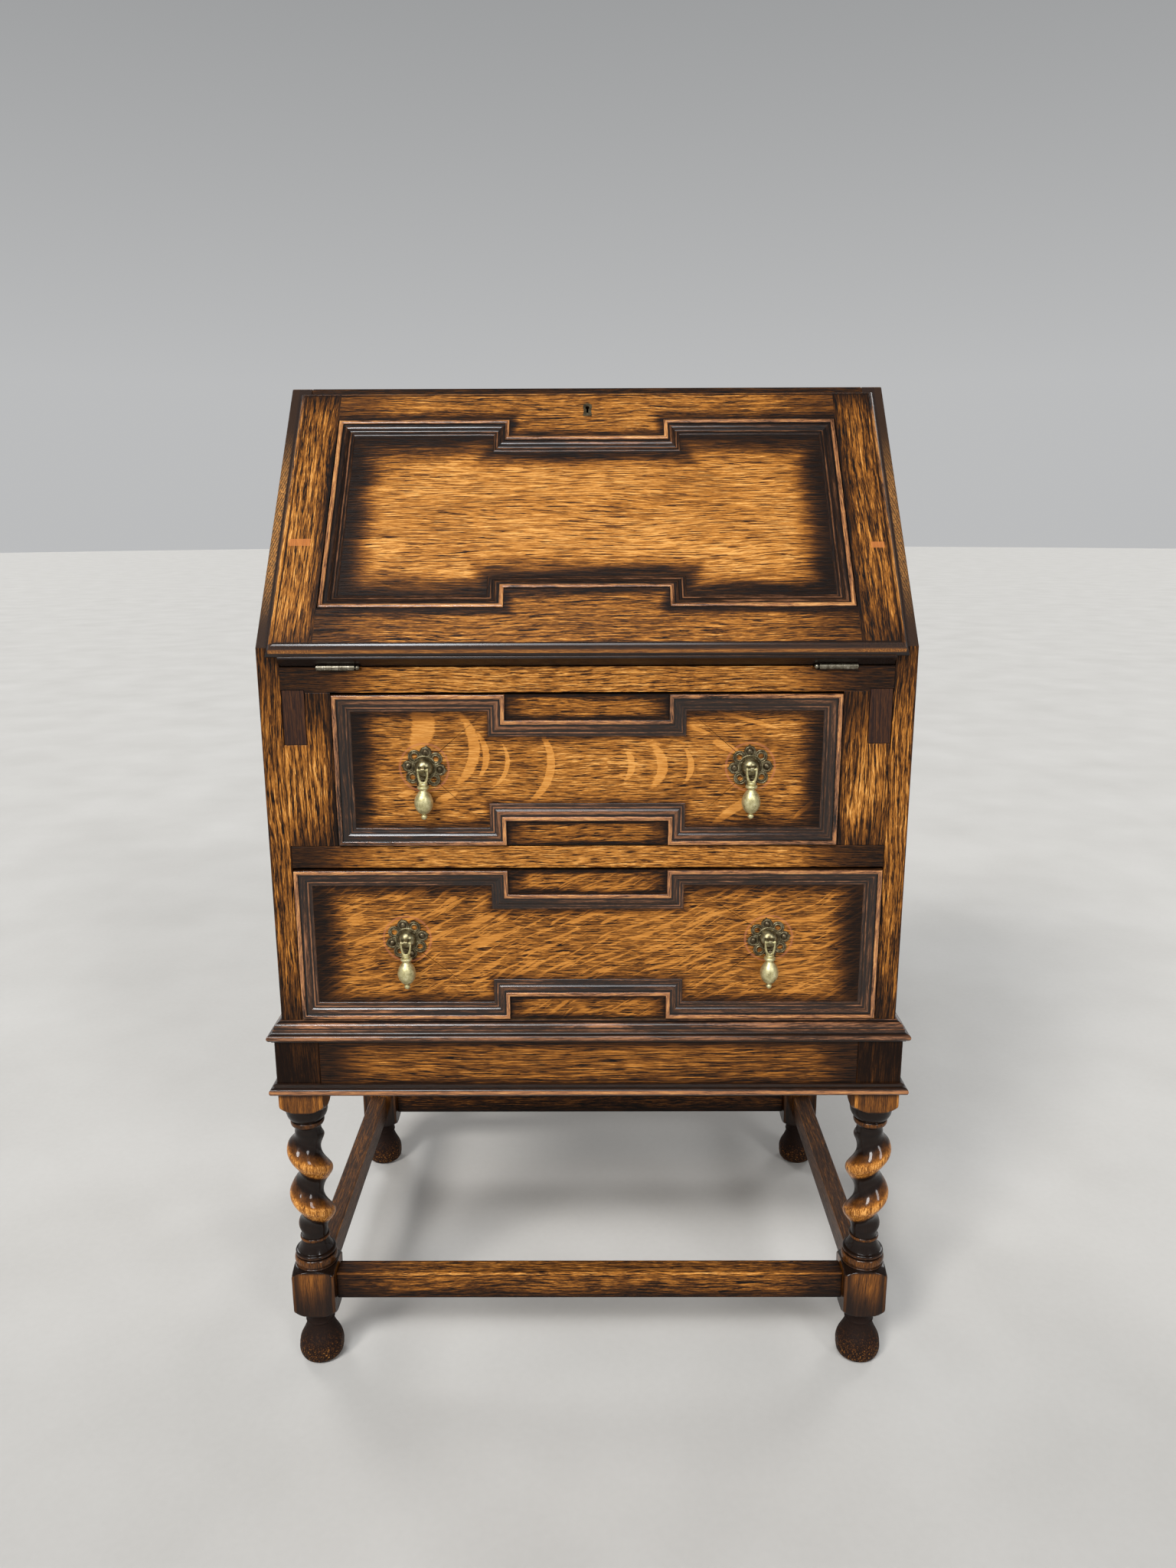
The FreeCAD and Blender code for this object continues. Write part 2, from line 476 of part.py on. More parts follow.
def drop_pull(x, z):
    """Shackle with a cross bar, collar, pear and ball; hangs from z."""
    zz = z
    prof = [(0, -47.6), (1.6, -47.2), (2.8, -45.8), (3.0, -44.4), (2.2, -42.9), (1.6, -42.3), (3.4, -41.6), (5.8, -39.6), (7.7, -36.4),
            (8.6, -32.6), (8.4, -29.0), (7.2, -25.2), (5.6, -22.0), (4.2, -20.0), (3.4, -19.0), (3.3, -18.4), (4.7, -17.6), (4.9, -16.2),
            (4.7, -14.9), (3.2, -14.2), (3.0, -13.2), (0, -13.2)]
    pts = [V(r, 0, h) for r, h in prof]
    body = Part.Face(Part.makePolygon(pts + [pts[0]])).revolve(V(0, 0, 0), V(0, 0, 1), 360)
    # shackle: tapering loop seen face on
    outer = [(-5.3, 0.0), (-5.4, -3.5), (-4.9, -7.5), (-3.9, -11.0), (-2.8, -13.6), (2.8, -13.6), (3.9, -11.0), (4.9, -7.5), (5.4, -3.5), (5.3, 0.0),
             (5.0, 1.2), (4.2, 1.5), (3.6, 1.2), (3.5, 0.0), (3.5, -3.4), (3.1, -6.8), (2.2, -9.6), (1.2, -11.0), (0.0, -11.5),
             (-1.2, -11.0), (-2.2, -9.6), (-3.1, -6.8), (-3.5, -3.4), (-3.5, 0.0), (-3.6, 1.2), (-4.2, 1.5), (-5.0, 1.2)]
    pts = [V(a, -1.2, h) for a, h in outer]
    loop = Part.Face(Part.makePolygon(pts + [pts[0]])).extrude(V(0, 2.4, 0))
    bar = Part.makeCylinder(BORE_R - 0.26, 8.4, V(-4.2, 0, 0), V(1, 0, 0))
    s = body.fuse(loop).fuse(bar)
    s.translate(V(x, PULL_Y, zz))
    return solid_of(s)


def drawer(name, d, px, pz, tilt, inner_half, back_top):
    half, z0, z1 = d["half"], d["z0"], d["z1"]
    y_face = FIELD_Y
    front = box(-half, half, y_face, y_face + DRAWER_T, z0, z1)
    # applied tablets in the jogs
    tab_t = box(-JOG_X, JOG_X, y_face - 3.0, y_face, z1 - JOG_DEPTH, z1)
    tab_b = box(-JOG_X, JOG_X, y_face - 3.0, y_face, z0, z0 + JOG_DEPTH)
    front = front.fuse(tab_t).fuse(tab_b).removeSplitter()
    for x in (-px, px):
        front = front.cut(Part.makeCylinder(2.4, 40, V(x, -5, pz), V(0, 1, 0)))
    y1 = y_face + DRAWER_T
    yb = 385.0
    bt = z0 + 7.5
    bottom = box(-(inner_half - 5.0), inner_half - 5.0, y1 - 6.0, yb, bt, bt + 5.0)
    front = front.cut(bottom)
    side = box(inner_half - 10.5, inner_half, y1, yb, z0 + (0.0 if name == "upper" else -0.3), back_top)
    side = side.cut(bottom)
    back = box(-(inner_half - 10.5), inner_half - 10.5, yb - 10.0, yb, bt + 5.0, back_top - 6)
    add(name + "_drawer_front", solid_of(front))
    add(name + "_drawer_carcase", [solid_of(mirror_x(side)), solid_of(side), back])
    add(name + "_drawer_bottom", bottom)
    out = outline(half, z0, z1, JOG_X, z0 + JOG_DEPTH, z1 - JOG_DEPTH)
    add(name + "_drawer_moulding", mitred(out, lambda a, b, h: V(a, y_face - h, b), V(0, -1, 0)))
    posts, plates = [], []
    for sg in (-1, 1):
        p, n = handle_post(sg * px, pz)
        posts += [p, n]
        plates.append(backplate(sg * px, pz, tilt[0] if sg < 0 else tilt[1]))
    add(name + "_handle_posts", posts)
    add(name + "_backplates", plates)
    add(name + "_pull_left", drop_pull(-px, pz))
    add(name + "_pull_right", drop_pull(px, pz))


drawer("upper", UD, UP_PULL_X, UP_PULL_Z, (-7.0, 3.0), 236.8, 702.0)
drawer("lower", LD, LO_PULL_X, LO_PULL_Z, (14.0, 8.0), 282.6, 532.0)


# ================================================================ stand
def pommel_block(x, y, z0, z1, lo, hi):
    """Square block with turned shoulders where it meets the turning."""
    half = LEG / 2.0
    b = Part.makeBox(LEG, LEG, z1 - z0, V(x - half, y - half, z0))
    big = 33.0
    prof = [(0, z0)]
    if lo:
        prof += [(lo, z0), (lo + 0.8, z0 + 0.3), (half + 3.0, z0 + 2.4), (half + 6.5, z0 + 5.2), (big, z0 + 10.0)]
    else:
        prof += [(big, z0)]
    if hi:
        prof += [(big, z1 - 7.5), (half + 6.0, z1 - 3.6), (half + 2.6, z1 - 1.5), (hi + 0.8, z1 - 0.3), (hi, z1)]
    else:
        prof += [(big, z1)]
    prof += [(0, z1)]
    return b.common(revolve(prof, x, y))


def leg(x, y, hand):
    """hand = +1: the thread runs as on the left-hand legs; -1: mirrored."""
    zt0, zt1 = 150.0, 268.0
    # top block and what is turned under it
    top = pommel_block(x, y, 296.0, LEG_TOP, 21.6, 0)
    neck = revolve([(0, 268.0), (13.6, 268.0), (13.2, 271.5), (13.4, 273.8), (15.0, 275.0), (16.2, 276.0), (17.0, 277.6), (17.2, 279.4),
                    (16.7, 281.0), (15.6, 281.9), (15.8, 282.6), (17.6, 283.6), (19.6, 286.0), (20.8, 289.2), (21.3, 292.6), (21.6, 296.0), (0, 296.0)], x, y)
    # twist: a round section whose centre runs round the axis
    wires = []
    n = 44
    for i in range(n + 1):
        z = zt0 + (zt1 - zt0) * i / n
        f0 = min(1.0, (z - zt0) / 15.0)
        f1 = min(1.0, (zt1 - z) / 15.0)
        f = min(f0, f1)
        f = f * f * (3 - 2 * f)
        e = 5.5 * f
        r = 13.6 + (17.4 - 13.6) * f
        ang = math.pi - 2 * math.pi * (z - 248.5) / TWIST_PITCH
        cx, cy = e * math.cos(ang), e * math.sin(ang)
        cx *= hand
        c = Part.Circle(V(x + cx, y + cy, z), V(0, 0, 1), r)
        wires.append(Part.Wire(c.toShape()))
    tw = Part.makeLoft(wires, True, False, False, 3)
    low = revolve([(0, 113.0), (21.6, 113.0), (21.8, 115.6), (20.9, 116.4), (20.9, 117.0), (21.9, 118.4), (22.2, 121.0), (21.9, 123.4), (20.9, 125.2),
                   (19.6, 125.8), (19.7, 126.6), (20.9, 127.4), (21.1, 129.0), (20.3, 130.4), (18.9, 131.0), (17.6, 132.6), (16.0, 135.6), (14.6, 139.0),
                   (13.7, 142.4), (13.6, 143.2), (14.9, 143.8), (15.4, 145.2), (14.9, 146.7), (13.6, 147.3), (13.6, 150.0), (0, 150.0)], x, y)
    blk = pommel_block(x, y, 58.5, 114.0, 17.0, 21.6)
    bun = revolve([(0, 0), (13.5, 0), (16.5, 1.2), (19.6, 4.4), (22.0, 9.2), (23.4, 15.0), (23.7, 20.5), (22.9, 26.5), (20.9, 32.2), (18.2, 36.6),
                   (15.6, 39.6), (14.5, 41.6), (14.4, 43.6), (15.3, 45.0), (14.8, 46.6), (15.0, 50.0), (16.6, 54.5), (17.4, 58.6), (0, 58.6)], x, y)
    s = top.fuse([neck, tw, low, blk, bun])
    return solid_of(s)


XL, YF, YR = LEG_X, LEG_Y0, LEG_Y0 + LEG_PITCH_Y
add("leg_front_left", leg(-XL, YF, 1))
add("leg_rear_left", leg(-XL, YR, 1))
add("leg_front_right", leg(XL, YF, -1))
add("leg_rear_right", leg(XL, YR, -1))

FX = LEG_X - LEG / 2.0
FY0, FY1 = YF + LEG / 2.0, YR - LEG / 2.0
add("frieze_front", box(-FX, FX, STAND_FRONT, STAND_FRONT + 21, FRIEZE_BOT, LEG_TOP))
add("frieze_rear", box(-FX, FX, STAND_REAR - 21, STAND_REAR, FRIEZE_BOT, LEG_TOP))
fsd = box(STAND_OUT - 21, STAND_OUT, FY0, FY1, FRIEZE_BOT, LEG_TOP)
add("frieze_sides", [mirror_x(fsd), fsd])
sx = LEG_X - LEG / 2.0
add("stretcher_front", box(-sx, sx, STAND_FRONT + STR_BACK, STAND_FRONT + STR_BACK + STR_T, STR_Z0, STR_Z0 + STR_H))
add("stretcher_rear", box(-sx, sx, STAND_REAR - STR_BACK - STR_T, STAND_REAR - STR_BACK, STR_Z0, STR_Z0 + STR_H))
ssd = box(STAND_OUT - STR_BACK - STR_T, STAND_OUT - STR_BACK, FY0, FY1, STR_Z0, STR_Z0 + STR_H)
add("stretcher_sides", [mirror_x(ssd), ssd])


def run_moulding(prof, base_x, base_y):
    """Three mitred lengths round front and sides.  prof: (out, z), out from the case face."""
    res = []
    far = 40.0
    pf = [V(-base_x - far, base_y - o, z) for o, z in prof]
    f = Part.Face(Part.makePolygon(pf + [pf[0]])).extrude(V(2 * (base_x + far), 0, 0))
    tri = poly_prism([(-base_x + 30, base_y + 30, 0), (-base_x - far, base_y - far, 0), (base_x + far, base_y - far, 0), (base_x - 30, base_y + 30, 0)], (0, 0, 1100))
    res.append(solid_of(f.common(tri)))
    ps = [V(base_x + o, base_y - far, z) for o, z in prof]
    s = Part.Face(Part.makePolygon(ps + [ps[0]])).extrude(V(0, STAND_REAR - base_y + far, 0))
    tri2 = poly_prism([(base_x - 30, base_y + 30, 0), (base_x + far, base_y - far, 0), (base_x + far, STAND_REAR, 0), (base_x - 30, STAND_REAR, 0)], (0, 0, 1100))
    s = solid_of(s.common(tri2))
    res += [s, mirror_x(s)]
    return res


O1 = STAND_OUT - CASE_HALF   # 7.1: stand face outside the case face
WAIST = [(0.0, LEG_TOP), (0.0, 397.2), (1.0, 397.2), (1.3, 396.2), (2.9, 395.6), (4.6, 394.4), (5.9, 392.7), (6.6, 390.8), (6.7, 389.2), (7.6, 389.0),
         (7.7, 387.9), (8.1, 386.6), (9.0, 385.6), (10.2, 385.1), (11.6, 384.7), (12.6, 383.6), (13.0, 382.2), (12.8, 380.7), (11.9, 379.3), (10.6, 378.3), (9.2, 377.8),
         (9.0, 376.9), (O1, 376.8), (O1, LEG_TOP)]
add("waist_moulding", run_moulding(WAIST, CASE_HALF, 0.0))
BEAD = [(O1, 331.4), (9.2, 331.3), (9.8, 330.8), (9.8, 329.2), (9.0, 328.6), (9.1, 327.8), (11.2, 327.6), (12.7, 326.8), (13.6, 325.3), (13.8, 323.5), (13.3, 321.8),
        (12.1, 320.5), (10.4, 319.9), (O1, 319.9)]
add("apron_bead", run_moulding(BEAD, CASE_HALF, 0.0))

# ================================================================ export
lo = [1e9] * 3
hi = [-1e9] * 3
bad = 0
for name, shp in nodes.items():
    shp = shp.copy()
    shp.translate(V(0, -Y_MID, 0))
    if not shp.isValid():
        print("INVALID", name)
        bad += 1
    if not shp.Solids:
        print("NO SOLID", name)
        bad += 1
    shp.exportStep("parts/%s.step" % name)
    b = shp.BoundBox
    for i, (a, c) in enumerate(((b.XMin, b.XMax), (b.YMin, b.YMax), (b.ZMin, b.ZMax))):
        lo[i] = min(lo[i], a)
        hi[i] = max(hi[i], c)
print("nodes", len(nodes), "bad", bad)
print("box", [round(v, 3) for v in lo], [round(v, 3) for v in hi])
print("pivot s, o", round(piv_s, 3), round(piv_o, 3))
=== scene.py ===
import math

import bpy
import bmesh
from mathutils import Matrix, Vector, noise as mnoise


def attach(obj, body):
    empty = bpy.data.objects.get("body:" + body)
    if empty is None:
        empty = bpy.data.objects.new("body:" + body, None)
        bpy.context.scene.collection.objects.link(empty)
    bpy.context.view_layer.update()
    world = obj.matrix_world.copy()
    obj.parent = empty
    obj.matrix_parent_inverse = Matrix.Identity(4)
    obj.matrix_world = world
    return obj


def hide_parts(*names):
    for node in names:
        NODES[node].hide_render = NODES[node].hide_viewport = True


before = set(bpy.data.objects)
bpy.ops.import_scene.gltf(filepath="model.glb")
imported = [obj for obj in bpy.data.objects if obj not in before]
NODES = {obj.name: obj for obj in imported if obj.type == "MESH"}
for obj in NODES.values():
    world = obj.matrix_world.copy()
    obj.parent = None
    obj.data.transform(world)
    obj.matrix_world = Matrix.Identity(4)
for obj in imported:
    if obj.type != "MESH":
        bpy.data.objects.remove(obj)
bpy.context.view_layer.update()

# ------------------------------------------------------------------
# Oak drop-front bureau.  Metres in Blender; the numbers below are in
# millimetres of the design: x across, y from the carcass face back,
# z up.  The row frame is the design moved by -Y_MID in y.
# ------------------------------------------------------------------
Y_MID = 202.77
SIN, COS = 0.7808, 0.6248           # slope of the fall, along and out


def P(x, y, z):
    """design millimetres to row metres"""
    return Vector((x * 0.001, (y - Y_MID) * 0.001, z * 0.001))


# ============================================================ mesh helpers
def mesh_object(name, verts, faces, body, mat, node=(), smooth=True, sharp=35.0, weld=False):
    me = bpy.data.meshes.new(name)
    me.from_pydata([tuple(v) for v in verts], [], faces)
    bm = bmesh.new()
    bm.from_mesh(me)
    if weld:
        bmesh.ops.remove_doubles(bm, verts=bm.verts, dist=2e-6)
    bmesh.ops.recalc_face_normals(bm, faces=bm.faces)
    lim = math.radians(sharp)
    for f in bm.faces:
        f.smooth = smooth
    if smooth:
        for e in bm.edges:
            if len(e.link_faces) == 2 and e.calc_face_angle(0.0) > lim:
                e.smooth = False
    bm.to_mesh(me)
    bm.free()
    me.materials.append(mat)
    ob = bpy.data.objects.new(name, me)
    bpy.context.scene.collection.objects.link(ob)
    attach(ob, body)
    if node:
        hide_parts(*node)
    return ob


def wobble(p, scale, amount, seed=0.0):
    return amount * mnoise.noise(Vector((p[0] * scale + seed, p[1] * scale + 3.1 * seed, p[2] * scale - seed)))


def bez(p0, p1, p2, p3, n):
    out = []
    for i in range(1, n + 1):
        t = i / n
        a, b, c, d = (1 - t) ** 3, 3 * t * (1 - t) ** 2, 3 * t * t * (1 - t), t ** 3
        out.append((a * p0[0] + b * p1[0] + c * p2[0] + d * p3[0], a * p0[1] + b * p1[1] + c * p2[1] + d * p3[1]))
    return out


# ============================================================ node expressions
class Ex:
    """A scalar in a shader, made of Math nodes."""

    def __init__(self, g, s):
        self.g, self.s = g, s

    def __add__(self, o): return self.g.m("ADD", self, o)
    def __radd__(self, o): return self.g.m("ADD", o, self)
    def __sub__(self, o): return self.g.m("SUBTRACT", self, o)
    def __rsub__(self, o): return self.g.m("SUBTRACT", o, self)
    def __mul__(self, o): return self.g.m("MULTIPLY", self, o)
    def __rmul__(self, o): return self.g.m("MULTIPLY", o, self)
    def __truediv__(self, o): return self.g.m("DIVIDE", self, o)
    def __neg__(self): return self.g.m("MULTIPLY", self, -1.0)
    def __abs__(self): return self.g.m("ABSOLUTE", self)


class Mat:
    def __init__(self, name):
        self.mat = bpy.data.materials.new(name)
        self.mat.use_nodes = True
        self.nt = self.mat.node_tree
        self.nt.nodes.clear()
        self.out = self.nt.nodes.new("ShaderNodeOutputMaterial")
        self.bsdf = self.nt.nodes.new("ShaderNodeBsdfPrincipled")
        self.nt.links.new(self.bsdf.outputs[0], self.out.inputs[0])
        tc = self.nt.nodes.new("ShaderNodeTexCoord")
        self.obj = tc.outputs["Object"]
        sep = self.nt.nodes.new("ShaderNodeSeparateXYZ")
        self.nt.links.new(self.obj, sep.inputs[0])
        ax = [Ex(self, sep.outputs[i]) * 1000.0 for i in range(3)]
        self.x, self.z = ax[0], ax[2]
        self.y = ax[1] + Y_MID
        self._nrm = None
        self._ax = None

    @property
    def ax(self):
        if self._ax is None:
            self._ax = abs(self.x)
        return self._ax

    @property
    def nrm(self):
        if self._nrm is None:
            tc = self.nt.nodes.new("ShaderNodeTexCoord")
            sep = self.nt.nodes.new("ShaderNodeSeparateXYZ")
            self.nt.links.new(tc.outputs["Normal"], sep.inputs[0])
            self._nrm = [Ex(self, sep.outputs[i]) for i in range(3)]
        return self._nrm

    def m(self, op, a, b=None, c=None, clamp=False):
        n = self.nt.nodes.new("ShaderNodeMath")
        n.operation, n.use_clamp = op, clamp
        for i, v in enumerate((a, b, c)):
            if v is None:
                continue
            self.put(n.inputs[i], v)
        return Ex(self, n.outputs[0])

    def put(self, inp, v):
        if isinstance(v, Ex):
            self.nt.links.new(v.s, inp)
        elif isinstance(v, bpy.types.NodeSocket):
            self.nt.links.new(v, inp)
        else:
            inp.default_value = v

    def mn(self, *a):
        r = a[0]
        for b in a[1:]:
            r = self.m("MINIMUM", r, b)
        return r

    def mx(self, *a):
        r = a[0]
        for b in a[1:]:
            r = self.m("MAXIMUM", r, b)
        return r

    def smin(self, k, *a):
        r = a[0]
        for b in a[1:]:
            r = self.m("SMOOTH_MIN", r, b, k)
        return r

    def step(self, v, a, b, lo=0.0, hi=1.0):
        """smooth step of v from a to b, giving lo to hi"""
        n = self.nt.nodes.new("ShaderNodeMapRange")
        n.interpolation_type = "SMOOTHSTEP"
        if a > b:
            a, b, lo, hi = b, a, hi, lo
        self.put(n.inputs[0], v)
        for i, q in enumerate((a, b, lo, hi)):
            n.inputs[i + 1].default_value = q
        return Ex(self, n.outputs[0])

    def vec(self, a, b, c):
        n = self.nt.nodes.new("ShaderNodeCombineXYZ")
        for i, v in enumerate((a, b, c)):
            self.put(n.inputs[i], v)
        return n.outputs[0]

    def noise(self, v, scale=1.0, detail=2.0, rough=0.5, dist=0.0):
        n = self.nt.nodes.new("ShaderNodeTexNoise")
        self.put(n.inputs["Vector"], v)
        n.inputs["Scale"].default_value = scale
        n.inputs["Detail"].default_value = detail
        n.inputs["Roughness"].default_value = rough
        n.inputs["Distortion"].default_value = dist
        return Ex(self, n.outputs["Fac"] if "Fac" in n.outputs else n.outputs[0])

    def voro(self, v, scale=1.0, feature="F1", rnd=1.0):
        n = self.nt.nodes.new("ShaderNodeTexVoronoi")
        n.feature = feature
        self.put(n.inputs["Vector"], v)
        n.inputs["Scale"].default_value = scale
        n.inputs["Randomness"].default_value = rnd
        return Ex(self, n.outputs["Distance"])

    def ramp(self, fac, stops, interp="LINEAR"):
        n = self.nt.nodes.new("ShaderNodeValToRGB")
        self.put(n.inputs[0], fac)
        cr = n.color_ramp
        cr.interpolation = interp
        while len(cr.elements) < len(stops):
            cr.elements.new(0.5)
        for e, (p, c) in zip(cr.elements, stops):
            e.position = p
            e.color = (c[0], c[1], c[2], 1.0)
        return n.outputs[0]

    def mix(self, fac, a, b, mode="MIX"):
        n = self.nt.nodes.new("ShaderNodeMix")
        n.data_type, n.blend_type = "RGBA", mode
        self.put(n.inputs[0], fac)
        self.put(n.inputs[6], a if not isinstance(a, tuple) else (*a, 1.0))
        self.put(n.inputs[7], b if not isinstance(b, tuple) else (*b, 1.0))
        return n.outputs[2]

    def bump(self, height, strength, dist_mm, normal=None):
        n = self.nt.nodes.new("ShaderNodeBump")
        n.inputs["Strength"].default_value = strength
        n.inputs["Distance"].default_value = dist_mm * 0.001
        self.put(n.inputs["Height"], height)
        if normal is not None:
            self.put(n.inputs["Normal"], normal)
        return n.outputs[0]

    # slope coordinates of the fall: along it, and out of it
    def slope(self):
        zz = self.z - 766.5
        return self.y * COS + zz * SIN, self.y * (-SIN) + zz * COS


# ============================================================ oak
OAK = [(0.00, (0.0050, 0.0030, 0.0024)), (0.16, (0.0150, 0.0064, 0.0032)), (0.34, (0.0560, 0.0200, 0.0052)), (0.52, (0.155, 0.0530, 0.0092)),
       (0.70, (0.335, 0.124, 0.0195)), (0.86, (0.545, 0.222, 0.041)), (1.00, (0.770, 0.390, 0.110))]
INNER = [(0.00, (0.020, 0.011, 0.006)), (0.30, (0.105, 0.055, 0.024)), (0.60, (0.260, 0.150, 0.068)), (1.00, (0.480, 0.320, 0.170))]


def oak(name, axis, tone=0.66, shade=None, seed=1.0, fine=0.30, band=0.16, blotch=0.14, pores=0.52, fleck=None, extra=None, ramp=OAK,
        rough=0.38, coat=0.05, spec=0.11, bump=0.5, g=None, tint=None, ring=3.4, rings=0.20, coat_rough=0.16, low=0.12, run=0.75):
    """axis: x, y, z or s (up the slope).  tone 0 dark to 1 light.  shade: callable giving 0..1, how far the dark polish covers.
    ring: spacing of the growth rings in mm; rings: how strongly they show; run: below 1 draws the figure out along the grain."""
    g = g or Mat(name)
    if axis == "x":
        L, T, D = g.x, g.z, g.y
    elif axis == "z":
        L, T, D = g.z, g.x, g.y
    elif axis == "y":
        L, T, D = g.y, g.z, g.x
    elif axis == "xs":
        s, o = g.slope()
        L, T, D = g.x, s, o
    elif axis == "sx":
        s, o = g.slope()
        L, T, D = s, g.x, o
    elif callable(axis):
        L, T, D = axis(g)
    q = seed * 17.37
    wav = g.noise(g.vec(L * 0.0055 + q, T * 0.022, D * 0.022), 1.0, 1.0)             # slow wander of the grain
    T2 = T + (wav - 0.5) * 16.0
    n_band = g.noise(g.vec(L * 0.014 + q, T2 * 0.20 + q, D * 0.20), 1.0, 3.0, 0.65)
    n_fine = g.noise(g.vec(L * (0.070 * run) + q, T2 * 0.86 + q, D * 0.86), 1.0, 3.0, 0.85)
    n_blot = g.noise(g.vec(L * 0.0075 - q, T * 0.020 + q, D * 0.02), 1.0, 2.0, 0.55)
    n_pore = g.noise(g.vec(L * (0.085 * run) + q, T2 * 1.05 - q, D * 1.05), 1.0, 1.5, 0.6)
    saw = g.m("FRACT", (T2 + D * 0.6) * (1.0 / ring) + (n_band - 0.5) * 3.2)
    early = g.step(saw, 0.75, 0.05) * g.step(saw, 0.0, 0.04)
    pore = g.step(n_pore, 0.510, 0.560) * g.m("MULTIPLY_ADD", early, 0.60, 0.40)
    t = (n_fine - 0.5) * (fine * 5.2) + (n_band - 0.5) * (band * 2.6) + (n_blot - 0.5) * (blotch * 2.6) + (0.36 - early) * rings + pores * 0.06
    if fleck is not None:
        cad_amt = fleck(g, L, T, D, n_fine)
        t = t * g.m("MULTIPLY_ADD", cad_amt, -0.74, 1.0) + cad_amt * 0.20
        pore = pore * g.m("MULTIPLY_ADD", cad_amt, -0.75, 1.0)
    t = t - pore * pores
    if shade is not None:
        sh = shade(g, n_fine, n_band, n_blot)
        # under the dark polish the figure is weak and near black
        t = (t + tone) * sh + (1.0 - sh) * (low + t * 0.42)
    else:
        t = t + tone
    if extra is not None:
        t = extra(g, t, n_fine, n_band, n_blot)
    t = g.m("MAXIMUM", g.m("MINIMUM", t, 1.0), 0.0)
    col = g.ramp(t, ramp)
    if tint is not None:
        col = tint(g, col, t, n_fine)
    b = g.bsdf
    g.put(b.inputs["Base Color"], col)
    r = g.m("MULTIPLY_ADD", n_blot, 0.16, rough - 0.08) + pore * 0.14
    if getattr(g, "rough_add", None) is not None:
        r = r + g.rough_add
    g.put(b.inputs["Roughness"], r)
    b.inputs["Specular IOR Level"].default_value = spec
    b.inputs["Coat Weight"].default_value = coat
    b.inputs["Coat Roughness"].default_value = coat_rough
    b.inputs["Coat IOR"].default_value = 1.45
    h = n_fine * 0.5 - pore * 0.9 - early * 0.35
    g.put(b.inputs["Normal"], g.bump(h, bump, 0.22))
    return g.mat


def ragged(g, d, nf, nb, amt=9.0):
    """a distance with a ragged, grain-following edge"""
    return d + (nf - 0.5) * amt + (nb - 0.5) * amt * 2.0


# --- distance inwards from a moulding's outline with its two jogs
def drawer_d(g, half, z0, z1, jx, jd, k=0.0):
    a = half - g.ax
    b = g.z - z0
    c = z1 - g.z
    j0 = g.mx(g.ax - jx, g.z - (z0 + jd))
    j1 = g.mx(g.ax - jx, (z1 - jd) - g.z)
    return (a, b, c, j0, j1)


def fall_d(g):
    s, o = g.slope()
    a = 249.0 - g.ax
    b = s - 36.0
    c = 261.0 - s
    j0 = g.mx(g.ax - 77.0, s - 57.5)
    j1 = g.mx(g.ax - 77.0, 240.0 - s)
    return (a, b, c, j0, j1)


UD = dict(half=237.4, z0=577.6, z1=723.0)
LD = dict(half=283.0, z0=398.6, z1=552.6)
JX, JD, MW = 76.5, 24.0, 16.5


def tablets(g, z0, z1):
    """distance inwards from the edges of the two applied tablets"""
    tx = JX - g.ax
    return g.mx(g.mn(tx, g.z - z0, (z0 + JD) - g.z), g.mn(tx, z1 - g.z, g.z - (z1 - JD)))


def field_shade(dd, w0, w1, side=1.0, jog=1.2, k=12.0, amt=6.0, tab=None):
    def f(g, nf, nb, nl):
        a, b, c, j0, j1 = dd(g)
        d = g.smin(k, a * side, b, c * (0.84 if dd is fall_d else 1.0), j0 * jog, j1 * jog)
        d = ragged(g, d, nf, nb, amt) + (nl - 0.5) * amt * 1.6
        r = g.step(d, w0, w1)
        if tab:
            e = ragged(g, tablets(g, *tab), nf, nb, 4.0)
            ex = ragged(g, JX - g.ax, nf, nb, 8.0)
            r = g.mx(r, g.step(e, 0.5, 6.0) * g.step(ex, 2.0, 26.0, 0.35, 0.9))
        if dd is fall_d:
            s, o = g.slope()
            return g.mx(r, g.step(o, 0.0, -4.0) * 0.82)
        return g.mx(r, g.step(g.y, 6.0, 12.0) * 0.82)
    return f


def arc(g, cx, cz, R, a_mid, half_len, w):
    """a crescent: a piece of a ring about (cx, cz), widest in its middle.  a_mid in degrees, half_len in mm along it"""
    dx, dz = g.x - cx, g.z - cz
    c, s = math.cos(math.radians(a_mid)), math.sin(math.radians(a_mid))
    u = dx * c + dz * s                      # outwards at the middle
    v = dz * c - dx * s                      # along
    rr = g.m("SQRT", dx * dx + dz * dz)
    off = abs(rr - R) / w
    along = v / half_len
    k = off * off + along * along + g.step(u, 0.0, 1.0, 2.0, 0.0)
    return k


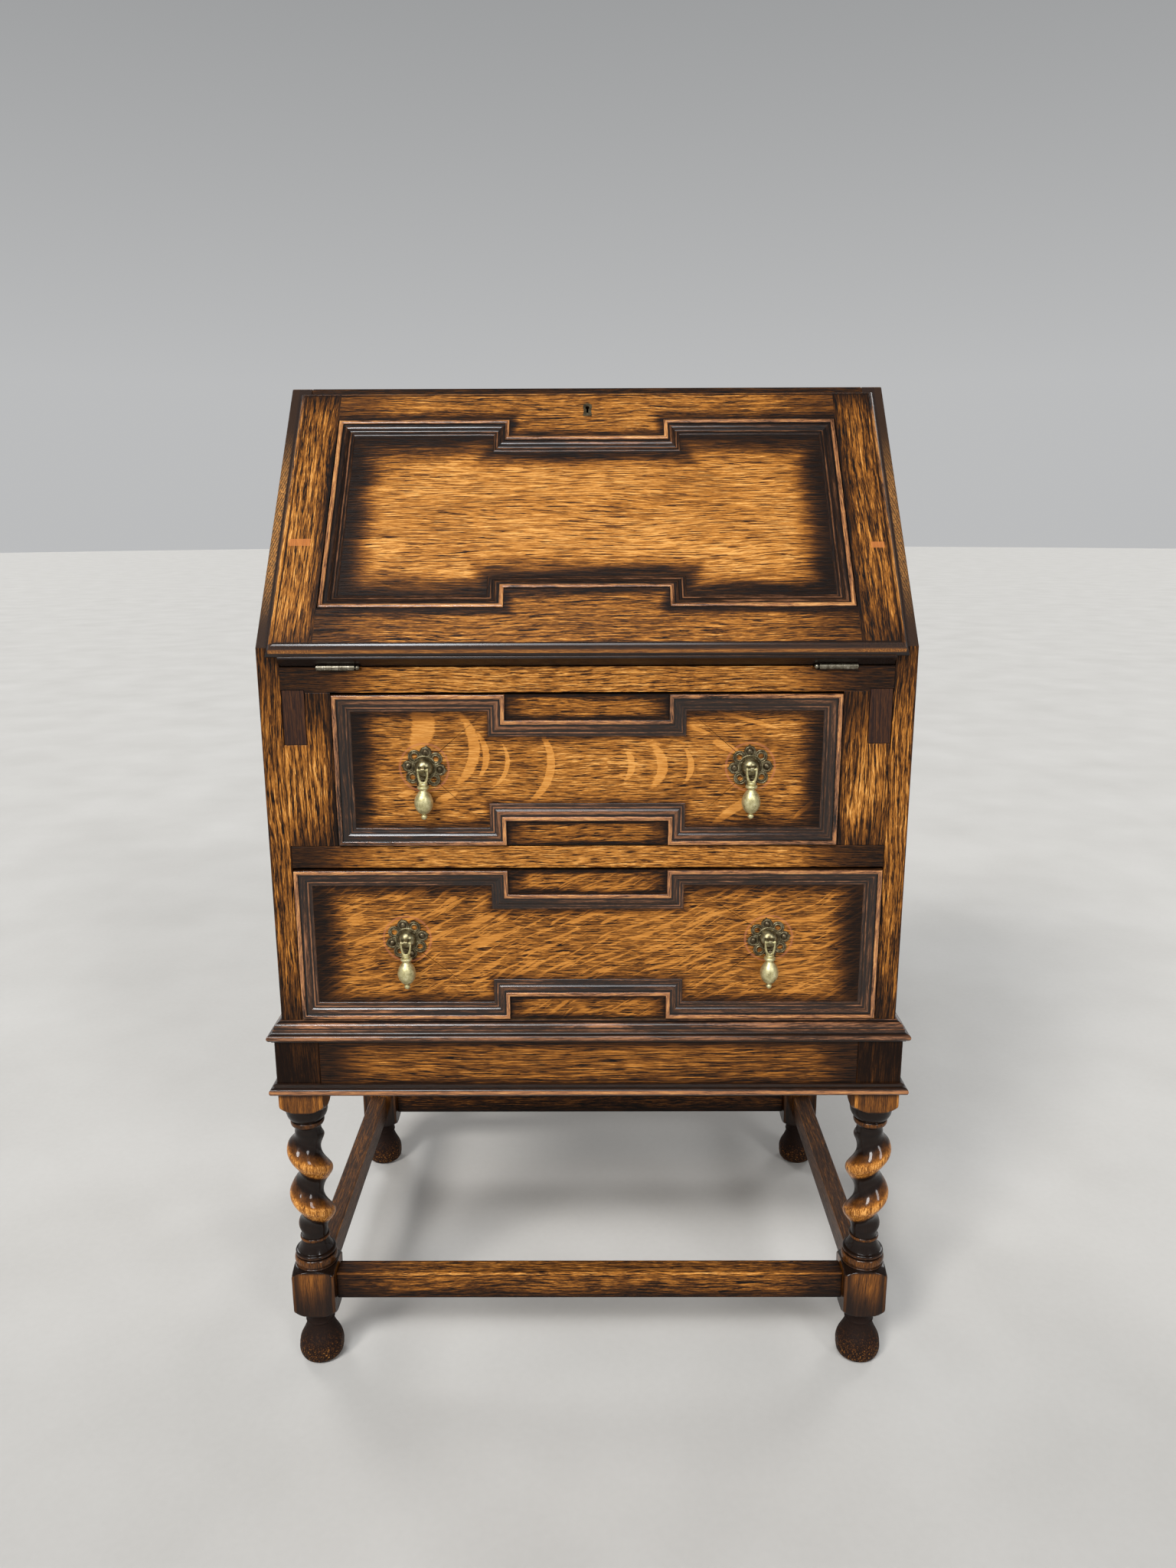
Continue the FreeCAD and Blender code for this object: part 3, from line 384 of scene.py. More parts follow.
def upper_flecks(g, L, T, D, nf):
    ks = []
    for (cx, cz, R, a, hl, w) in (
            (-190.0, 694.0, 37.0, -4.0, 24.0, 11.0),       # broad patch over the left pull
            (-152.0, 672.0, 46.0, -4.0, 35.0, 5.4),
            (-131.0, 664.0, 36.0, 2.0, 22.0, 3.2),
            (-106.0, 660.0, 31.0, -14.0, 22.0, 2.2),
            (-80.0, 658.0, 46.0, -10.0, 36.0, 4.0),
            (20.0, 655.0, 22.0, 0.0, 15.0, 3.4),
            (44.0, 654.0, 27.0, 0.0, 21.0, 5.2),
            (72.0, 654.0, 26.0, 0.0, 16.0, 3.0)):
        ks.append(arc(g, cx, cz, R, a, hl, w))
    # straight licks: centre, direction, half length, half width
    for (cx, cz, a, hl, w) in ((-171.0, 628.0, 20.0, 9.0, 3.0), (-133.0, 625.0, 22.0, 12.0, 3.2), (131.0, 672.0, -24.0, 15.0, 3.8), (139.0, 612.0, 36.0, 24.0, 4.4),
                               (206.0, 612.0, 42.0, 13.0, 2.4), (150.0, 698.0, -16.0, 30.0, 2.0), (100.0, 690.0, -18.0, 16.0, 2.0)):
        c, s = math.cos(math.radians(a)), math.sin(math.radians(a))
        dx, dz = g.x - cx, g.z - cz
        u, v = (dx * c + dz * s) / hl, (dz * c - dx * s) / w
        ks.append(u * u + v * v)
    k = g.mn(*ks)
    n = g.noise(g.vec(g.x * 0.10, g.z * 0.55, 3.0), 1.0, 2.0, 0.6)
    k = k + (n - 0.5) * 1.5 + (nf - 0.5) * 0.7
    big = g.step(k, 1.15, 0.75)
    # faint small rays everywhere
    w = g.noise(g.vec(g.x * 0.03 + g.z * 0.02, g.z * 0.22 - g.x * 0.05, 7.0), 1.0, 2.0, 0.5)
    return g.mx(big, g.step(w, 0.60, 0.70) * 0.35)


def lower_flecks(g, L, T, D, nf):
    wx = g.noise(g.vec(g.x * 0.010, g.z * 0.012, 1.5), 1.0, 1.0)
    z = g.z + (wx - 0.5) * 34.0
    out = []
    for (ang, f1, f2, off, lo, hi) in ((21.0, 0.019, 0.190, 0.0, 0.560, 0.600), (28.0, 0.028, 0.30, 9.0, 0.580, 0.620)):
        c, s = math.cos(math.radians(ang)), math.sin(math.radians(ang))
        u = g.x * c + z * s
        v = z * c - g.x * s
        n = g.noise(g.vec(u * f1 + off, v * f2 + off, off), 1.0, 2.2, 0.55)
        out.append(g.step(n + (nf - 0.5) * 0.16, lo, hi))
    return g.mx(*out)


def small_rays(g, L, T, D, nf):
    n = g.noise(g.vec(L * 0.045 + T * 0.03, T * 0.34 - L * 0.05, D * 0.1), 1.0, 2.0, 0.5)
    return g.step(n + (nf - 0.5) * 0.05, 0.62, 0.70) * 0.55


MATS = {}


def ring_tint(centres):
    """a pale, slightly pink ghost of polish round each rosette"""
    def f(g, col, t, nf):
        ds = []
        for (cx, cz) in centres:
            dx, dz = g.x - cx, g.z - cz
            ds.append(abs(g.m("SQRT", dx * dx + dz * dz) - 23.0))
        d = g.mn(*ds)
        k = g.step(d + (nf - 0.5) * 1.6, 1.5, 0.3) * 0.40
        return g.mix(k, col, (0.46, 0.16, 0.085))
    return f


UP_PULL, LO_PULL = (153.7, 653.0), (176.5, 481.5)
MATS["fall_panel"] = oak("oak_fall_field", "xs", run=0.6, tone=0.80, seed=1, fine=0.26, band=0.12, blotch=0.14, pores=0.46, ring=3.1, rings=0.16,
                         shade=field_shade(fall_d, 16.0, 46.0, 0.86, 1.10, 12.0, 10.0))
MATS["upper_drawer_front"] = oak("oak_upper_field", "x", tone=0.68, seed=2, fine=0.30, band=0.12, blotch=0.15, pores=0.52, fleck=upper_flecks, ring=2.9, rings=0.16,
                                 tint=ring_tint([(-153.7, 653.0), (153.7, 653.0)]),
                                 shade=field_shade(lambda g: drawer_d(g, UD["half"], UD["z0"], UD["z1"], JX, JD), 11.0, 29.5, 0.62, 1.2, 8.0, 4.0, (UD["z0"], UD["z1"])))
MATS["lower_drawer_front"] = oak("oak_lower_field", "x", tone=0.62, seed=3, fine=0.28, band=0.12, blotch=0.14, pores=0.52, fleck=lower_flecks, ring=2.7, rings=0.14,
                                 tint=ring_tint([(-176.5, 481.5), (176.5, 481.5)]),
                                 shade=field_shade(lambda g: drawer_d(g, LD["half"], LD["z0"], LD["z1"], JX, JD), 12.0, 31.0, 0.58, 1.2, 8.0, 4.0, (LD["z0"], LD["z1"])))


def sh_const(v):
    return lambda g, nf, nb, nl: g.step(nl + (nf - 0.5) * 0.3, 0.2, 0.8, v - 0.1, v + 0.1)


def ends_dark(x0, x1):
    """dark towards the ends of a rail"""
    return lambda g, nf, nb, nl: g.step(ragged(g, g.ax, nf, nb, 26.0) + (nl - 0.5) * 90.0, x1 + 6.0, x0 - 10.0, 0.14, 1.0)


def fall_outside(g):
    """distance outwards from the fall's moulding"""
    a, b, c, j0, j1 = fall_d(g)
    return -g.mn(a, b, c, j0, j1)


def fall_frame_shade(base0, base1):
    def f(g, nf, nb, nl):
        d = ragged(g, fall_outside(g), nf, nb, 5.0)
        return g.step(d, base0, base1)
    return f


def fall_edge(g, t, nf, nb, nl):
    """the fall's outer arrises are rubbed pale, with a dark line inside them"""
    s, o = g.slope()
    d = g.mn(294.5 - g.ax, s + 10.5, 303.0 - s)
    d = ragged(g, d, nf, nb, 1.2)
    line = g.step(abs(d - 8.6), 1.6, 0.4) * g.step(o, 8.0, 10.0)
    rub = g.step(d, 6.5, 1.0) * g.step(o, -9.0, -3.0) * g.step(nl + (nf - 0.5) * 0.8, 0.30, 0.62)
    t = t * g.m("MULTIPLY_ADD", line, -0.55, 1.0) + rub * 0.16
    # the bottom lip: black and glossy above, brown at its nose, black under it: dark polish with painted shade
    ss = s + (nf - 0.5) * 1.6
    lip = g.step(ss, -0.6, -2.2)
    nose = g.step(ss, -6.0, -8.0)
    t = t * (1.0 - lip) + lip * (0.20 + (nf - 0.5) * 0.5 + nose * (0.40 + (nf - 0.5) * 0.8))
    # painted shade: the undercut below the lip and the rail faces that turn downwards are darkened to near black, over
    # their dark polish
    under_polish_and_shade = g.mx(g.step(s, -10.4, -10.9), g.step(g.nrm[2], -0.25, -0.55) * g.step(o, -3.0, 1.0))
    t = t * g.m("MULTIPLY_ADD", under_polish_and_shade, -0.88, 1.0)
    # painted shade: a near-black band over the fall's side ovolos and along its top edge
    sd = g.mx(g.step(g.ax + (nf - 0.5) * 1.2, 290.6, 291.6), g.step(s + (nf - 0.5) * 1.2, 298.4, 299.4)) * g.step(o, -1.0, 1.0)
    t = t * g.m("MULTIPLY_ADD", sd, -0.80, 1.0) + g.step(abs(g.ax - 290.0), 0.9, 0.3) * g.step(o, 8.0, 9.0) * 0.22
    edge = g.mx(lip, sd)
    g.put(g.bsdf.inputs["Coat Weight"], edge * 0.80 + 0.05)
    return t


def sh_rail_top(g, nf, nb, nl):
    d = ragged(g, fall_outside(g), nf, nb, 5.0)
    e = g.step(ragged(g, g.ax, nf, nb, 12.0) + (nl - 0.5) * 60.0, 250.0, 175.0)
    s, o = g.slope()
    return g.mx(g.step(d, -1.0, 13.0) * g.m("MULTIPLY_ADD", e, 0.50, 0.50), g.step(o, 0.0, -4.0) * 0.85)


def sh_stile(g, nf, nb, nl):
    d = ragged(g, fall_outside(g), nf, nb, 6.0)
    s, o = g.slope()
    ends = g.mn(g.step(s + (nl - 0.5) * 40.0, -12.0, 50.0, 0.55, 1.0), g.step(s + (nl - 0.5) * 34.0, 302.0, 258.0, 0.26, 1.0))
    jt = g.step(ragged(g, g.ax - 250.0, nf, nb, 3.0), 0.0, 6.0, 0.25, 1.0)      # dark along the joint with the rails
    return g.mx(g.step(d, -4.0, 17.0, 0.10, 1.0) * ends * jt * g.step(g.x, 0.0, 1.0, 1.0, 0.78), g.step(o, 0.0, -4.0) * 0.85)


MATS["fall_rail_top"] = oak("oak_fall_rail_top", "xs", tone=0.62, ring=3.6, extra=fall_edge, seed=4, fine=0.30, band=0.16, shade=sh_rail_top, fleck=small_rays)
MATS["fall_rail_bottom"] = oak("oak_fall_rail_bottom", "xs", tone=0.61, ring=4.0, extra=fall_edge, seed=5, fine=0.30, band=0.18, shade=sh_rail_top, fleck=small_rays)
def stile_patch(g, col, t, nf):
    s, o = g.slope()
    a = g.mn(10.4 - abs(g.x + 273.2), 4.2 - abs(s - 111.0))
    b = g.mn(6.6 - abs(g.x - 276.0), 3.6 - abs(s - 106.0))
    k = g.step(g.mx(a, b) + (nf - 0.5) * 0.8, -0.2, 0.4) * g.step(o, 7.0, 8.0)
    return g.mix(k * 0.72, col, (0.50, 0.17, 0.045))


MATS["fall_stiles"] = oak("oak_fall_stiles", "sx", tone=0.63, ring=6.0, rings=0.28, extra=fall_edge, tint=stile_patch, seed=6, fine=0.34, band=0.26, blotch=0.2, shade=sh_stile)
MATS["top_rail"] = oak("oak_top_rail", "x", tone=0.70, ring=3.8, rings=0.26, seed=7, fine=0.30, band=0.16, shade=ends_dark(185.0, 262.0))
MATS["mid_rail"] = oak("oak_mid_rail", "x", tone=0.71, ring=3.4, seed=8, fine=0.30, band=0.14, shade=ends_dark(200.0, 268.0), fleck=small_rays)


def sh_front_stile(g, nf, nb, nl):
    z = g.z + (nl - 0.5) * 90.0 + (nb - 0.5) * 60.0
    return g.mn(g.step(z, 735.0, 655.0, 0.25, 1.0), g.step(z, 560.0, 625.0, 0.2, 1.0)) * g.step(ragged(g, g.ax, nf, nb, 8.0), 236.0, 248.0)


MATS["front_stiles"] = oak("oak_front_stiles", "z", tone=0.62, seed=9, fine=0.30, band=0.24, blotch=0.14, pores=0.52, ring=5.2, rings=0.42, shade=sh_front_stile)


def sh_side_edge(g, nf, nb, nl):
    # front edges of the side boards: dark at the foot and near the slope
    face = g.step(abs(g.nrm[0]), 0.45, 0.75)          # the broad outer face
    z = g.z + (nl - 0.5) * 90.0 + (nb - 0.5) * 60.0
    lo_ = g.step(z, 385.0, 480.0, 0.30, 1.0)
    mid = g.step(abs(z - 762.0), 12.0, 70.0, 0.55, 1.0)
    arr = g.step(ragged(g, 305.0 - g.ax, nf, nb, 2.0), 0.5, 3.5, 0.55, 1.0)
    s, o = g.slope()
    d = g.mn(g.y - 2.0, 417.0 - g.y, g.z - 398.0, 1010.0 - g.z, 4.0 - o + 12.0)
    d = ragged(g, d, nf, nb, 10.0) + (nl - 0.5) * 50.0
    rim = g.step(d, -6.0, 46.0, 0.40, 1.0)
    return g.mx(lo_ * mid * arr * (1.0 - face), rim * face)


def slope_strip(g, col, t, nf):
    """the sloping front edge: near black beside the fall, a painted shade band, paler and crossed by slanting rings
    outside it
    """
    s, o = g.slope()
    on = g.step(g.nrm[2], 0.35, 0.55) * g.step(g.nrm[1], -0.4, -0.6) * g.step(s, -14.0, -8.0)
    # painted shade: the strip right beside the fall is mixed to near black
    inner = g.step(g.ax + (nf - 0.5) * 0.8, 297.6, 296.6)
    part = g.step(s + (nf - 0.5) * 40.0, 15.0, 95.0) * g.step(s + (nf - 0.5) * 60.0, 262.0, 180.0) * g.step(g.x, -1.0, 1.0, 1.0, 0.62)
    line = g.step(abs(g.m("FRACT", (s + (g.ax - 300.0) * 3.2 + (nf - 0.5) * 6.0) * 0.135) - 0.5), 0.27, 0.12)
    pale = g.mix(0.55, g.mix(line * 0.90, (0.50, 0.255, 0.085), (0.045, 0.020, 0.010)), col)
    dark = g.mix(part, (0.034, 0.018, 0.011), pale)
    return g.mix(on, col, g.mix(inner, dark, (0.026, 0.015, 0.011)))


for sd, k in (("left", 10), ("right", 11)):
    MATS["side_panel_" + sd] = oak("oak_side_" + sd, "z", tone=0.55, tint=slope_strip, seed=k, fine=0.30, band=0.22, blotch=0.2, pores=0.52, ring=5.0, rings=0.34, shade=sh_side_edge)
def sh_top(g, nf, nb, nl):
    d = ragged(g, g.mn(g.y - 192.0, 417.0 - g.y, 300.0 - g.ax), nf, nb, 8.0)
    return g.step(d + (nl - 0.5) * 24.0, 2.0, 44.0, 0.22, 1.0)


MATS["top_board"] = oak("oak_top", "x", tone=0.60, seed=12, fine=0.30, band=0.2, blotch=0.2, shade=sh_top)


def dark_end(name, axis, seed, tone=0.24):
    return oak(name, axis, tone=tone, seed=seed, fine=0.16, band=0.12, blotch=0.10, pores=0.12, rough=0.5, coat=0.1,
               tint=lambda g, c, t, nf: g.mix(0.35, c, (0.045, 0.022, 0.019)))


for sd, k in (("left", 13), ("right", 14)):
    MATS["loper_" + sd] = dark_end("oak_loper_" + sd, "z", k)
    MATS["loper_peg_" + sd] = dark_end("oak_peg_" + sd, "z", k + 20)


def sh_frieze(g, nf, nb, nl):
    z = g.step(ragged(g, g.z, nf, nb, 6.0), 378.0, 366.0) * g.step(ragged(g, g.z, nf, nb, 6.0), 326.0, 342.0)
    e = g.step(ragged(g, g.ax, nf, nb, 14.0) + (nl - 0.5) * 50.0, 262.0, 215.0)
    return g.m("MULTIPLY_ADD", z * e, 0.85, 0.15)


MATS["frieze_front"] = oak("oak_frieze", "x", run=0.45, tone=0.51, ring=3.6, seed=15, fine=0.30, band=0.2, shade=sh_frieze)


def sh_frieze_side(g, nf, nb, nl):
    z = g.step(ragged(g, g.z, nf, nb, 6.0), 378.0, 364.0) * g.step(ragged(g, g.z, nf, nb, 6.0), 326.0, 342.0)
    return g.m("MULTIPLY_ADD", z, 0.75, 0.25)


MATS["frieze_sides"] = oak("oak_frieze_sides", "y", tone=0.56, seed=16, fine=0.30, band=0.2, shade=sh_frieze_side)
# painted shade: the rear frieze is toned far darker than the front and side friezes
MATS["frieze_rear"] = oak("oak_frieze_rear_painted_shade", "x", tone=0.20, seed=17, fine=0.26, band=0.2, shade=sh_frieze_side, coat=0.1, rough=0.5)


def stretcher_extra(zt):
    def f(g, t, nf, nb, nl):
        arris = g.step(ragged(g, g.z, nf, nb, 1.6), zt - 3.8, zt - 1.2) * g.step(g.nrm[2], 0.90, 0.60)
        low = g.step(ragged(g, g.z, nf, nb, 5.0), 74.0, 92.0)
        return t * g.m("MULTIPLY_ADD", low, 0.62, 0.38) + arris * 0.26
    return f


MATS["stretcher_front"] = oak("oak_stretcher_front", "x", tone=0.50, ring=3.6, seed=18, fine=0.34, band=0.22, shade=ends_dark(205.0, 265.0), extra=stretcher_extra(106.0))
# painted shade: the rear and side stretchers are toned darker than the front stretcher
MATS["stretcher_rear"] = oak("oak_stretcher_rear_painted_shade", "x", tone=0.30, seed=19, fine=0.28, band=0.2, extra=stretcher_extra(106.0))
MATS["stretcher_sides"] = oak("oak_stretcher_sides_painted_shade", "y", tone=0.32, seed=20, fine=0.28, band=0.2, extra=stretcher_extra(106.0),
                              tint=lambda g, c, t, nf: g.mix(0.25, c, (0.13, 0.075, 0.05)))
MATS["back_panel"] = oak("deal_back", "z", tone=0.55, seed=21, ramp=INNER, pores=0.16, rings=0.12, rough=0.62, coat=0.0, fine=0.24, band=0.3)
MATS["bottom_board"] = oak("deal_bottom", "x", tone=0.50, seed=22, ramp=INNER, pores=0.16, rings=0.12, rough=0.62, coat=0.0)
MATS["writing_bed"] = oak("oak_writing_bed", "x", tone=0.58, seed=23, fine=0.26, band=0.2)
MATS["pigeonholes"] = oak("oak_pigeonholes", "x", tone=0.55, seed=24, fine=0.24, band=0.16)
for nm, k in (("upper_drawer_carcase", 25), ("lower_drawer_carcase", 26)):
    MATS[nm] = oak("oak_" + nm, "y", tone=0.62, seed=k, ramp=INNER, pores=0.16, rings=0.12, rough=0.6, coat=0.0)
for nm, k in (("upper_drawer_bottom", 27), ("lower_drawer_bottom", 28)):
    MATS[nm] = oak("deal_" + nm, "x", tone=0.72, seed=k, ramp=INNER, pores=0.16, rings=0.12, rough=0.6, coat=0.0)
for nm, k in (("drawer_runners", 29), ("drawer_stops", 30), ("loper_bearers", 31), ("loper_guide_strips", 32)):
    MATS[nm] = oak("deal_" + nm, "y", tone=0.55, seed=k, ramp=INNER, pores=0.16, rings=0.12, rough=0.62, coat=0.0)


# --- mouldings: bead worn pale, quirk black, ogee dark and glossy
def moulding_axis(dd, height):
    def f(g):
        parts = dd(g)
        d = g.mn(*parts)
        g.d_in = d
        g.h_up = height(g)
        return (g.x + g.z, d * 1.0, g.h_up * 1.0)
    return f


def moulding_extra(g, t, nf, nb, nl, lvl=0.0):
    d, h = g.d_in, g.h_up
    bead = g.step(ragged(g, h, nf, nb, 0.9), 4.2, 5.1)                                    # crown of the bead
    side = g.step(ragged(g, d, nf, nb, 0.8), 0.1, 0.9)                                      # its outer side stays dark
    inner1 = g.step(abs(ragged(g, d, nf, nb, 0.35) - 12.6), 0.9, 0.35) * g.step(nl, 0.35, 0.55)
    inner2 = g.step(abs(ragged(g, d, nf, nb, 0.35) - 15.2), 0.6, 0.25) * g.step(nb, 0.40, 0.6) * 0.6
    og = g.step(abs(d - 7.6), 2.0, 0.4) * g.step(nb + nl, 0.95, 1.25)
    base = 0.24 - lvl + (nf - 0.5) * 1.10 + og * 0.20 + (nb - 0.5) * 0.4 + (nl - 0.5) * 0.4
    quirk = g.mx(g.step(abs(d - 5.0), 1.3, 0.5), g.step(abs(d - 11.0), 1.0, 0.3) * 0.7, g.step(abs(d - 14.0), 0.7, 0.2) * 0.8)
    base = base * g.m("MULTIPLY_ADD", quirk, -0.85, 1.0)
    return base + bead * side * (0.38 + lvl * 0.6 + (nf - 0.5) * 1.5 + (nl - 0.5) * 1.0) + inner1 * 0.20 + inner2 * 0.18


def pinkish(g, col, t, nf):
    return g.mix(g.step(t, 0.25, 0.6) * 0.36, col, (0.37, 0.18, 0.11))


def moulding_mat(name, dd, height, seed, lvl=0.0):
    return oak(name, moulding_axis(dd, height), tone=0.3, seed=seed, extra=lambda g, t, nf, nb, nl: moulding_extra(g, t, nf, nb, nl, lvl), tint=pinkish, rough=0.30, coat=0.90, coat_rough=0.14, spec=0.10, bump=0.30, rings=0.0, pores=0.1)


def slope_o(g):
    s, o = g.slope()
    return o - 7.0


M_FALL_MOULD = moulding_mat("oak_fall_moulding", fall_d, slope_o, 33, 0.09)
M_UP_MOULD = moulding_mat("oak_upper_moulding", lambda g: drawer_d(g, UD["half"], UD["z0"], UD["z1"], JX, JD), lambda g: 2.0 - g.y, 34)
M_LO_MOULD = moulding_mat("oak_lower_moulding", lambda g: drawer_d(g, LD["half"], LD["z0"], LD["z1"], JX, JD), lambda g: 2.0 - g.y, 35)


def run_axis(g):
    """grain along the moulding round front and sides; out = how far it stands out of the case"""
    ox = g.ax - 305.0
    oy = -g.y
    g.out_mm = g.mx(ox, oy)
    return (g.x + g.y, g.z * 1.0, g.out_mm * 1.0)


def waist_extra(g, t, nf, nb, nl):
    z = ragged(g, g.z, nf, nb, 0.7)
    nose = g.step(abs(z - 382.2), 2.6, 0.6)
    top = g.step(abs(z - 396.6), 0.9, 0.2) * 0.8
    mid = g.step(abs(z - 389.2), 0.9, 0.2) * 0.8
    cove = g.step(abs(z - 393.2), 2.6, 1.4) * g.step(nl + (nf - 0.5) * 0.4, 0.36, 0.56)
    wear = g.mx(nose, top, mid, cove * 0.9)
    gap = g.mx(g.step(abs(z - 395.9), 0.9, 0.4), g.step(abs(z - 390.0), 0.8, 0.3), g.step(abs(z - 385.6), 0.9, 0.4), g.step(z, 378.6, 377.6))
    t = 0.27 + (nf - 0.5) * 0.75 + (nl - 0.5) * 0.40 + wear * (0.24 + (nf - 0.5) * 0.8 + (nl - 0.5) * 0.8)
    return t * g.m("MULTIPLY_ADD", gap, -0.80, 1.0)


def bead_extra(g, t, nf, nb, nl):
    z = ragged(g, g.z, nf, nb, 0.7)
    nose = g.step(abs(z - 323.9), 3.2, 0.8)
    return 0.15 + (nf - 0.5) * 0.5 + nose * (0.50 + (nf - 0.5) * 1.3 + (nl - 0.5) * 0.8)


M_WAIST = oak("oak_waist", run_axis, tone=0.3, seed=36, extra=waist_extra, tint=pinkish, rough=0.30, coat=0.75, coat_rough=0.13, spec=0.15, bump=0.35, rings=0.0, pores=0.1)
M_BEAD = oak("oak_apron_bead", run_axis, tone=0.3, seed=37, extra=bead_extra, tint=pinkish, rough=0.32, coat=0.70, coat_rough=0.14, spec=0.15, bump=0.40, rings=0.0, pores=0.1)


# --- legs: gold on the crowns of the twist, black in its hollows
def leg_mat(name, cx, cy, seed):
    def extra(g, t, nf, nb, nl):
        dx, dy = g.x - cx, g.y - cy
        r = g.m("SQRT", dx * dx + dy * dy)
        sq = g.mx(abs(dx), abs(dy))
        nz = g.nrm[2]
        z = g.z
        tw = g.step(z, 150.0, 156.0) * g.step(z, 270.0, 262.0)
        crown = g.step(r + (nl - 0.5) * 2.0 + (nf - 0.5) * 2.0, 14.0, 18.2) * g.step(nz + (nf - 0.5) * 0.35, 0.78, 0.34)
        t_tw = 0.06 + (nf - 0.5) * 0.2 + crown * (0.66 + (nf - 0.5) * 1.9 + (nb - 0.5) * 0.7)
        g.rough_add = g.step(z, 60.0, 54.0) * 0.26
        # turned beads, rings and torus: worn on their widest parts
        rings = g.step(ragged(g, r, nf, nb, 0.8), 19.8, 21.6) * g.step(z, 114.0, 117.0) * g.step(z, 131.0, 128.0)
        rings = rings + g.step(ragged(g, r, nf, nb, 0.6), 14.2, 15.2) * g.step(z, 142.0, 143.0) * g.step(z, 148.0, 147.0)
        rings = rings + g.step(ragged(g, r, nf, nb, 0.8), 16.0, 17.0) * g.step(z, 274.0, 275.5) * g.step(z, 282.5, 281.5)
        t_rg = 0.05 + rings * (0.30 + (nf - 0.5) * 1.1 + (nl - 0.5) * 0.6)
        # square blocks
        blk_lo = g.step(z, 58.0, 62.0) * g.step(z, 114.5, 110.0)
        blk_hi = g.step(z, 296.0, 299.0) * g.step(z, 321.0, 318.0)
        face = g.step(ragged(g, sq, nf, nb, 1.0), 21.0, 22.0)
        edge = g.step(r, 22.4, 27.5, 1.0, 0.35)
        mid = g.step(g.mn(abs(dx), abs(dy)) + (nf - 0.5) * 5.0, 21.0, 10.0, 0.35, 1.0)
        b_lo = blk_lo * face * mid * (0.48 + (nf - 0.5) * 0.9 + (nb - 0.5) * 0.6) * g.step(z + (nl - 0.5) * 40.0, 62.0, 104.0, 0.35, 1.0)
        b_hi = blk_hi * face * (0.46 + (nf - 0.5) * 1.0 + (nb - 0.5) * 0.5) * g.step(z, 320.0, 314.0, 0.5, 1.0)
        # bun foot: scuffed, brown-grey
        foot = g.step(z, 58.5, 55.0)
        sc = g.noise(g.vec(g.x * 0.35, g.y * 0.35, g.z * 0.35), 1.0, 4.0, 0.65)
        sc2 = g.noise(g.vec(g.x * 0.75, g.y * 0.75, g.z * 0.75), 1.0, 2.0, 0.6)
        t_ft = 0.06 + foot * g.step(sc2, 0.56, 0.66) * 0.62 * g.step(z, 42.0, 10.0) + foot * (g.step(sc, 0.46, 0.72) * 0.36 * g.step(z, 46.0, 16.0) + (sc - 0.5) * 0.3)
        g.put(g.bsdf.inputs["Coat Weight"], g.step(z, 56.0, 62.0) * (1.0 - g.step(z, 318.0, 324.0) * 0.8) * 0.42)
        top_b = g.step(z, 321.0, 326.0) * (0.13 + (nf - 0.5) * 0.9 + (nb - 0.5) * 0.6 + (nl - 0.5) * 0.4)
        t = g.mx(t_tw * tw, t_rg * (1.0 - tw), b_lo, b_hi, t_ft * foot, top_b)
        arr = g.step(ragged(g, r, nf, nb, 1.2), 28.6, 30.0) * (blk_lo + blk_hi) * 0.22
        return t + arr
    return oak(name, "z", tone=0.5, seed=seed, extra=extra, tint=lambda g, c, t, nf: g.mix(g.step(g.z, 60.0, 52.0) * 0.30, c, (0.030, 0.019, 0.016)),
               rough=0.30, coat=0.60, coat_rough=0.07, spec=0.05, bump=0.30, rings=0.12, ring=4.0)


LEG_X, LEG_YF, LEG_YR = 289.85, 15.55, 399.95


# ============================================================ brass
def brass(name, lo, hi, rough=0.34, speck=0.35, metal=0.95, crev=None, scale=1.0):
    g = Mat(name)
    v = g.vec(g.x, g.y, g.z)
    n1 = g.noise(v, 0.22 * scale, 3.0, 0.6)
    n2 = g.noise(v, 1.9 * scale, 2.0, 0.6)
    n3 = g.noise(v, 0.9 * scale, 2.0, 0.5)
    t = 0.5 + (n1 - 0.5) * 1.5 + (n2 - 0.5) * speck * 2.0
    if crev is not None:
        t = crev(g, t)
    col = g.ramp(g.m("MAXIMUM", g.m("MINIMUM", t, 1.0), 0.0), [(0.0, lo[0]), (0.45, lo[1]), (0.75, hi[0]), (1.0, hi[1])])
    g.put(g.bsdf.inputs["Base Color"], col)
    g.bsdf.inputs["Metallic"].default_value = metal
    g.put(g.bsdf.inputs["Roughness"], g.m("MULTIPLY_ADD", n3, 0.25, rough - 0.10))
    g.put(g.bsdf.inputs["Normal"], g.bump(n2 * 0.6 + n3 * 0.4, 0.25, 0.12))
    return g.mat


BR_LO = ((0.14, 0.115, 0.048), (0.52, 0.460, 0.230))
BR_HI = ((0.66, 0.60, 0.34), (0.88, 0.84, 0.60))
DK_LO = ((0.016, 0.012, 0.007), (0.085, 0.064, 0.036))
DK_HI = ((0.20, 0.16, 0.098), (0.42, 0.37, 0.25))
M_PULL = brass("brass_pull", BR_LO, BR_HI, 0.42, 0.5, 0.75)
M_PLATE = brass("bronze_plate", DK_LO, DK_HI, 0.36, 0.4)
M_DOME = brass("brass_dome", ((0.05, 0.038, 0.018), (0.20, 0.165, 0.085)), ((0.38, 0.34, 0.20), (0.62, 0.57, 0.38)), 0.32, 0.3)
M_HINGE = brass("brass_hinge", ((0.04, 0.034, 0.024), (0.16, 0.14, 0.10)), ((0.34, 0.31, 0.24), (0.62, 0.58, 0.49)), 0.34, 0.4)
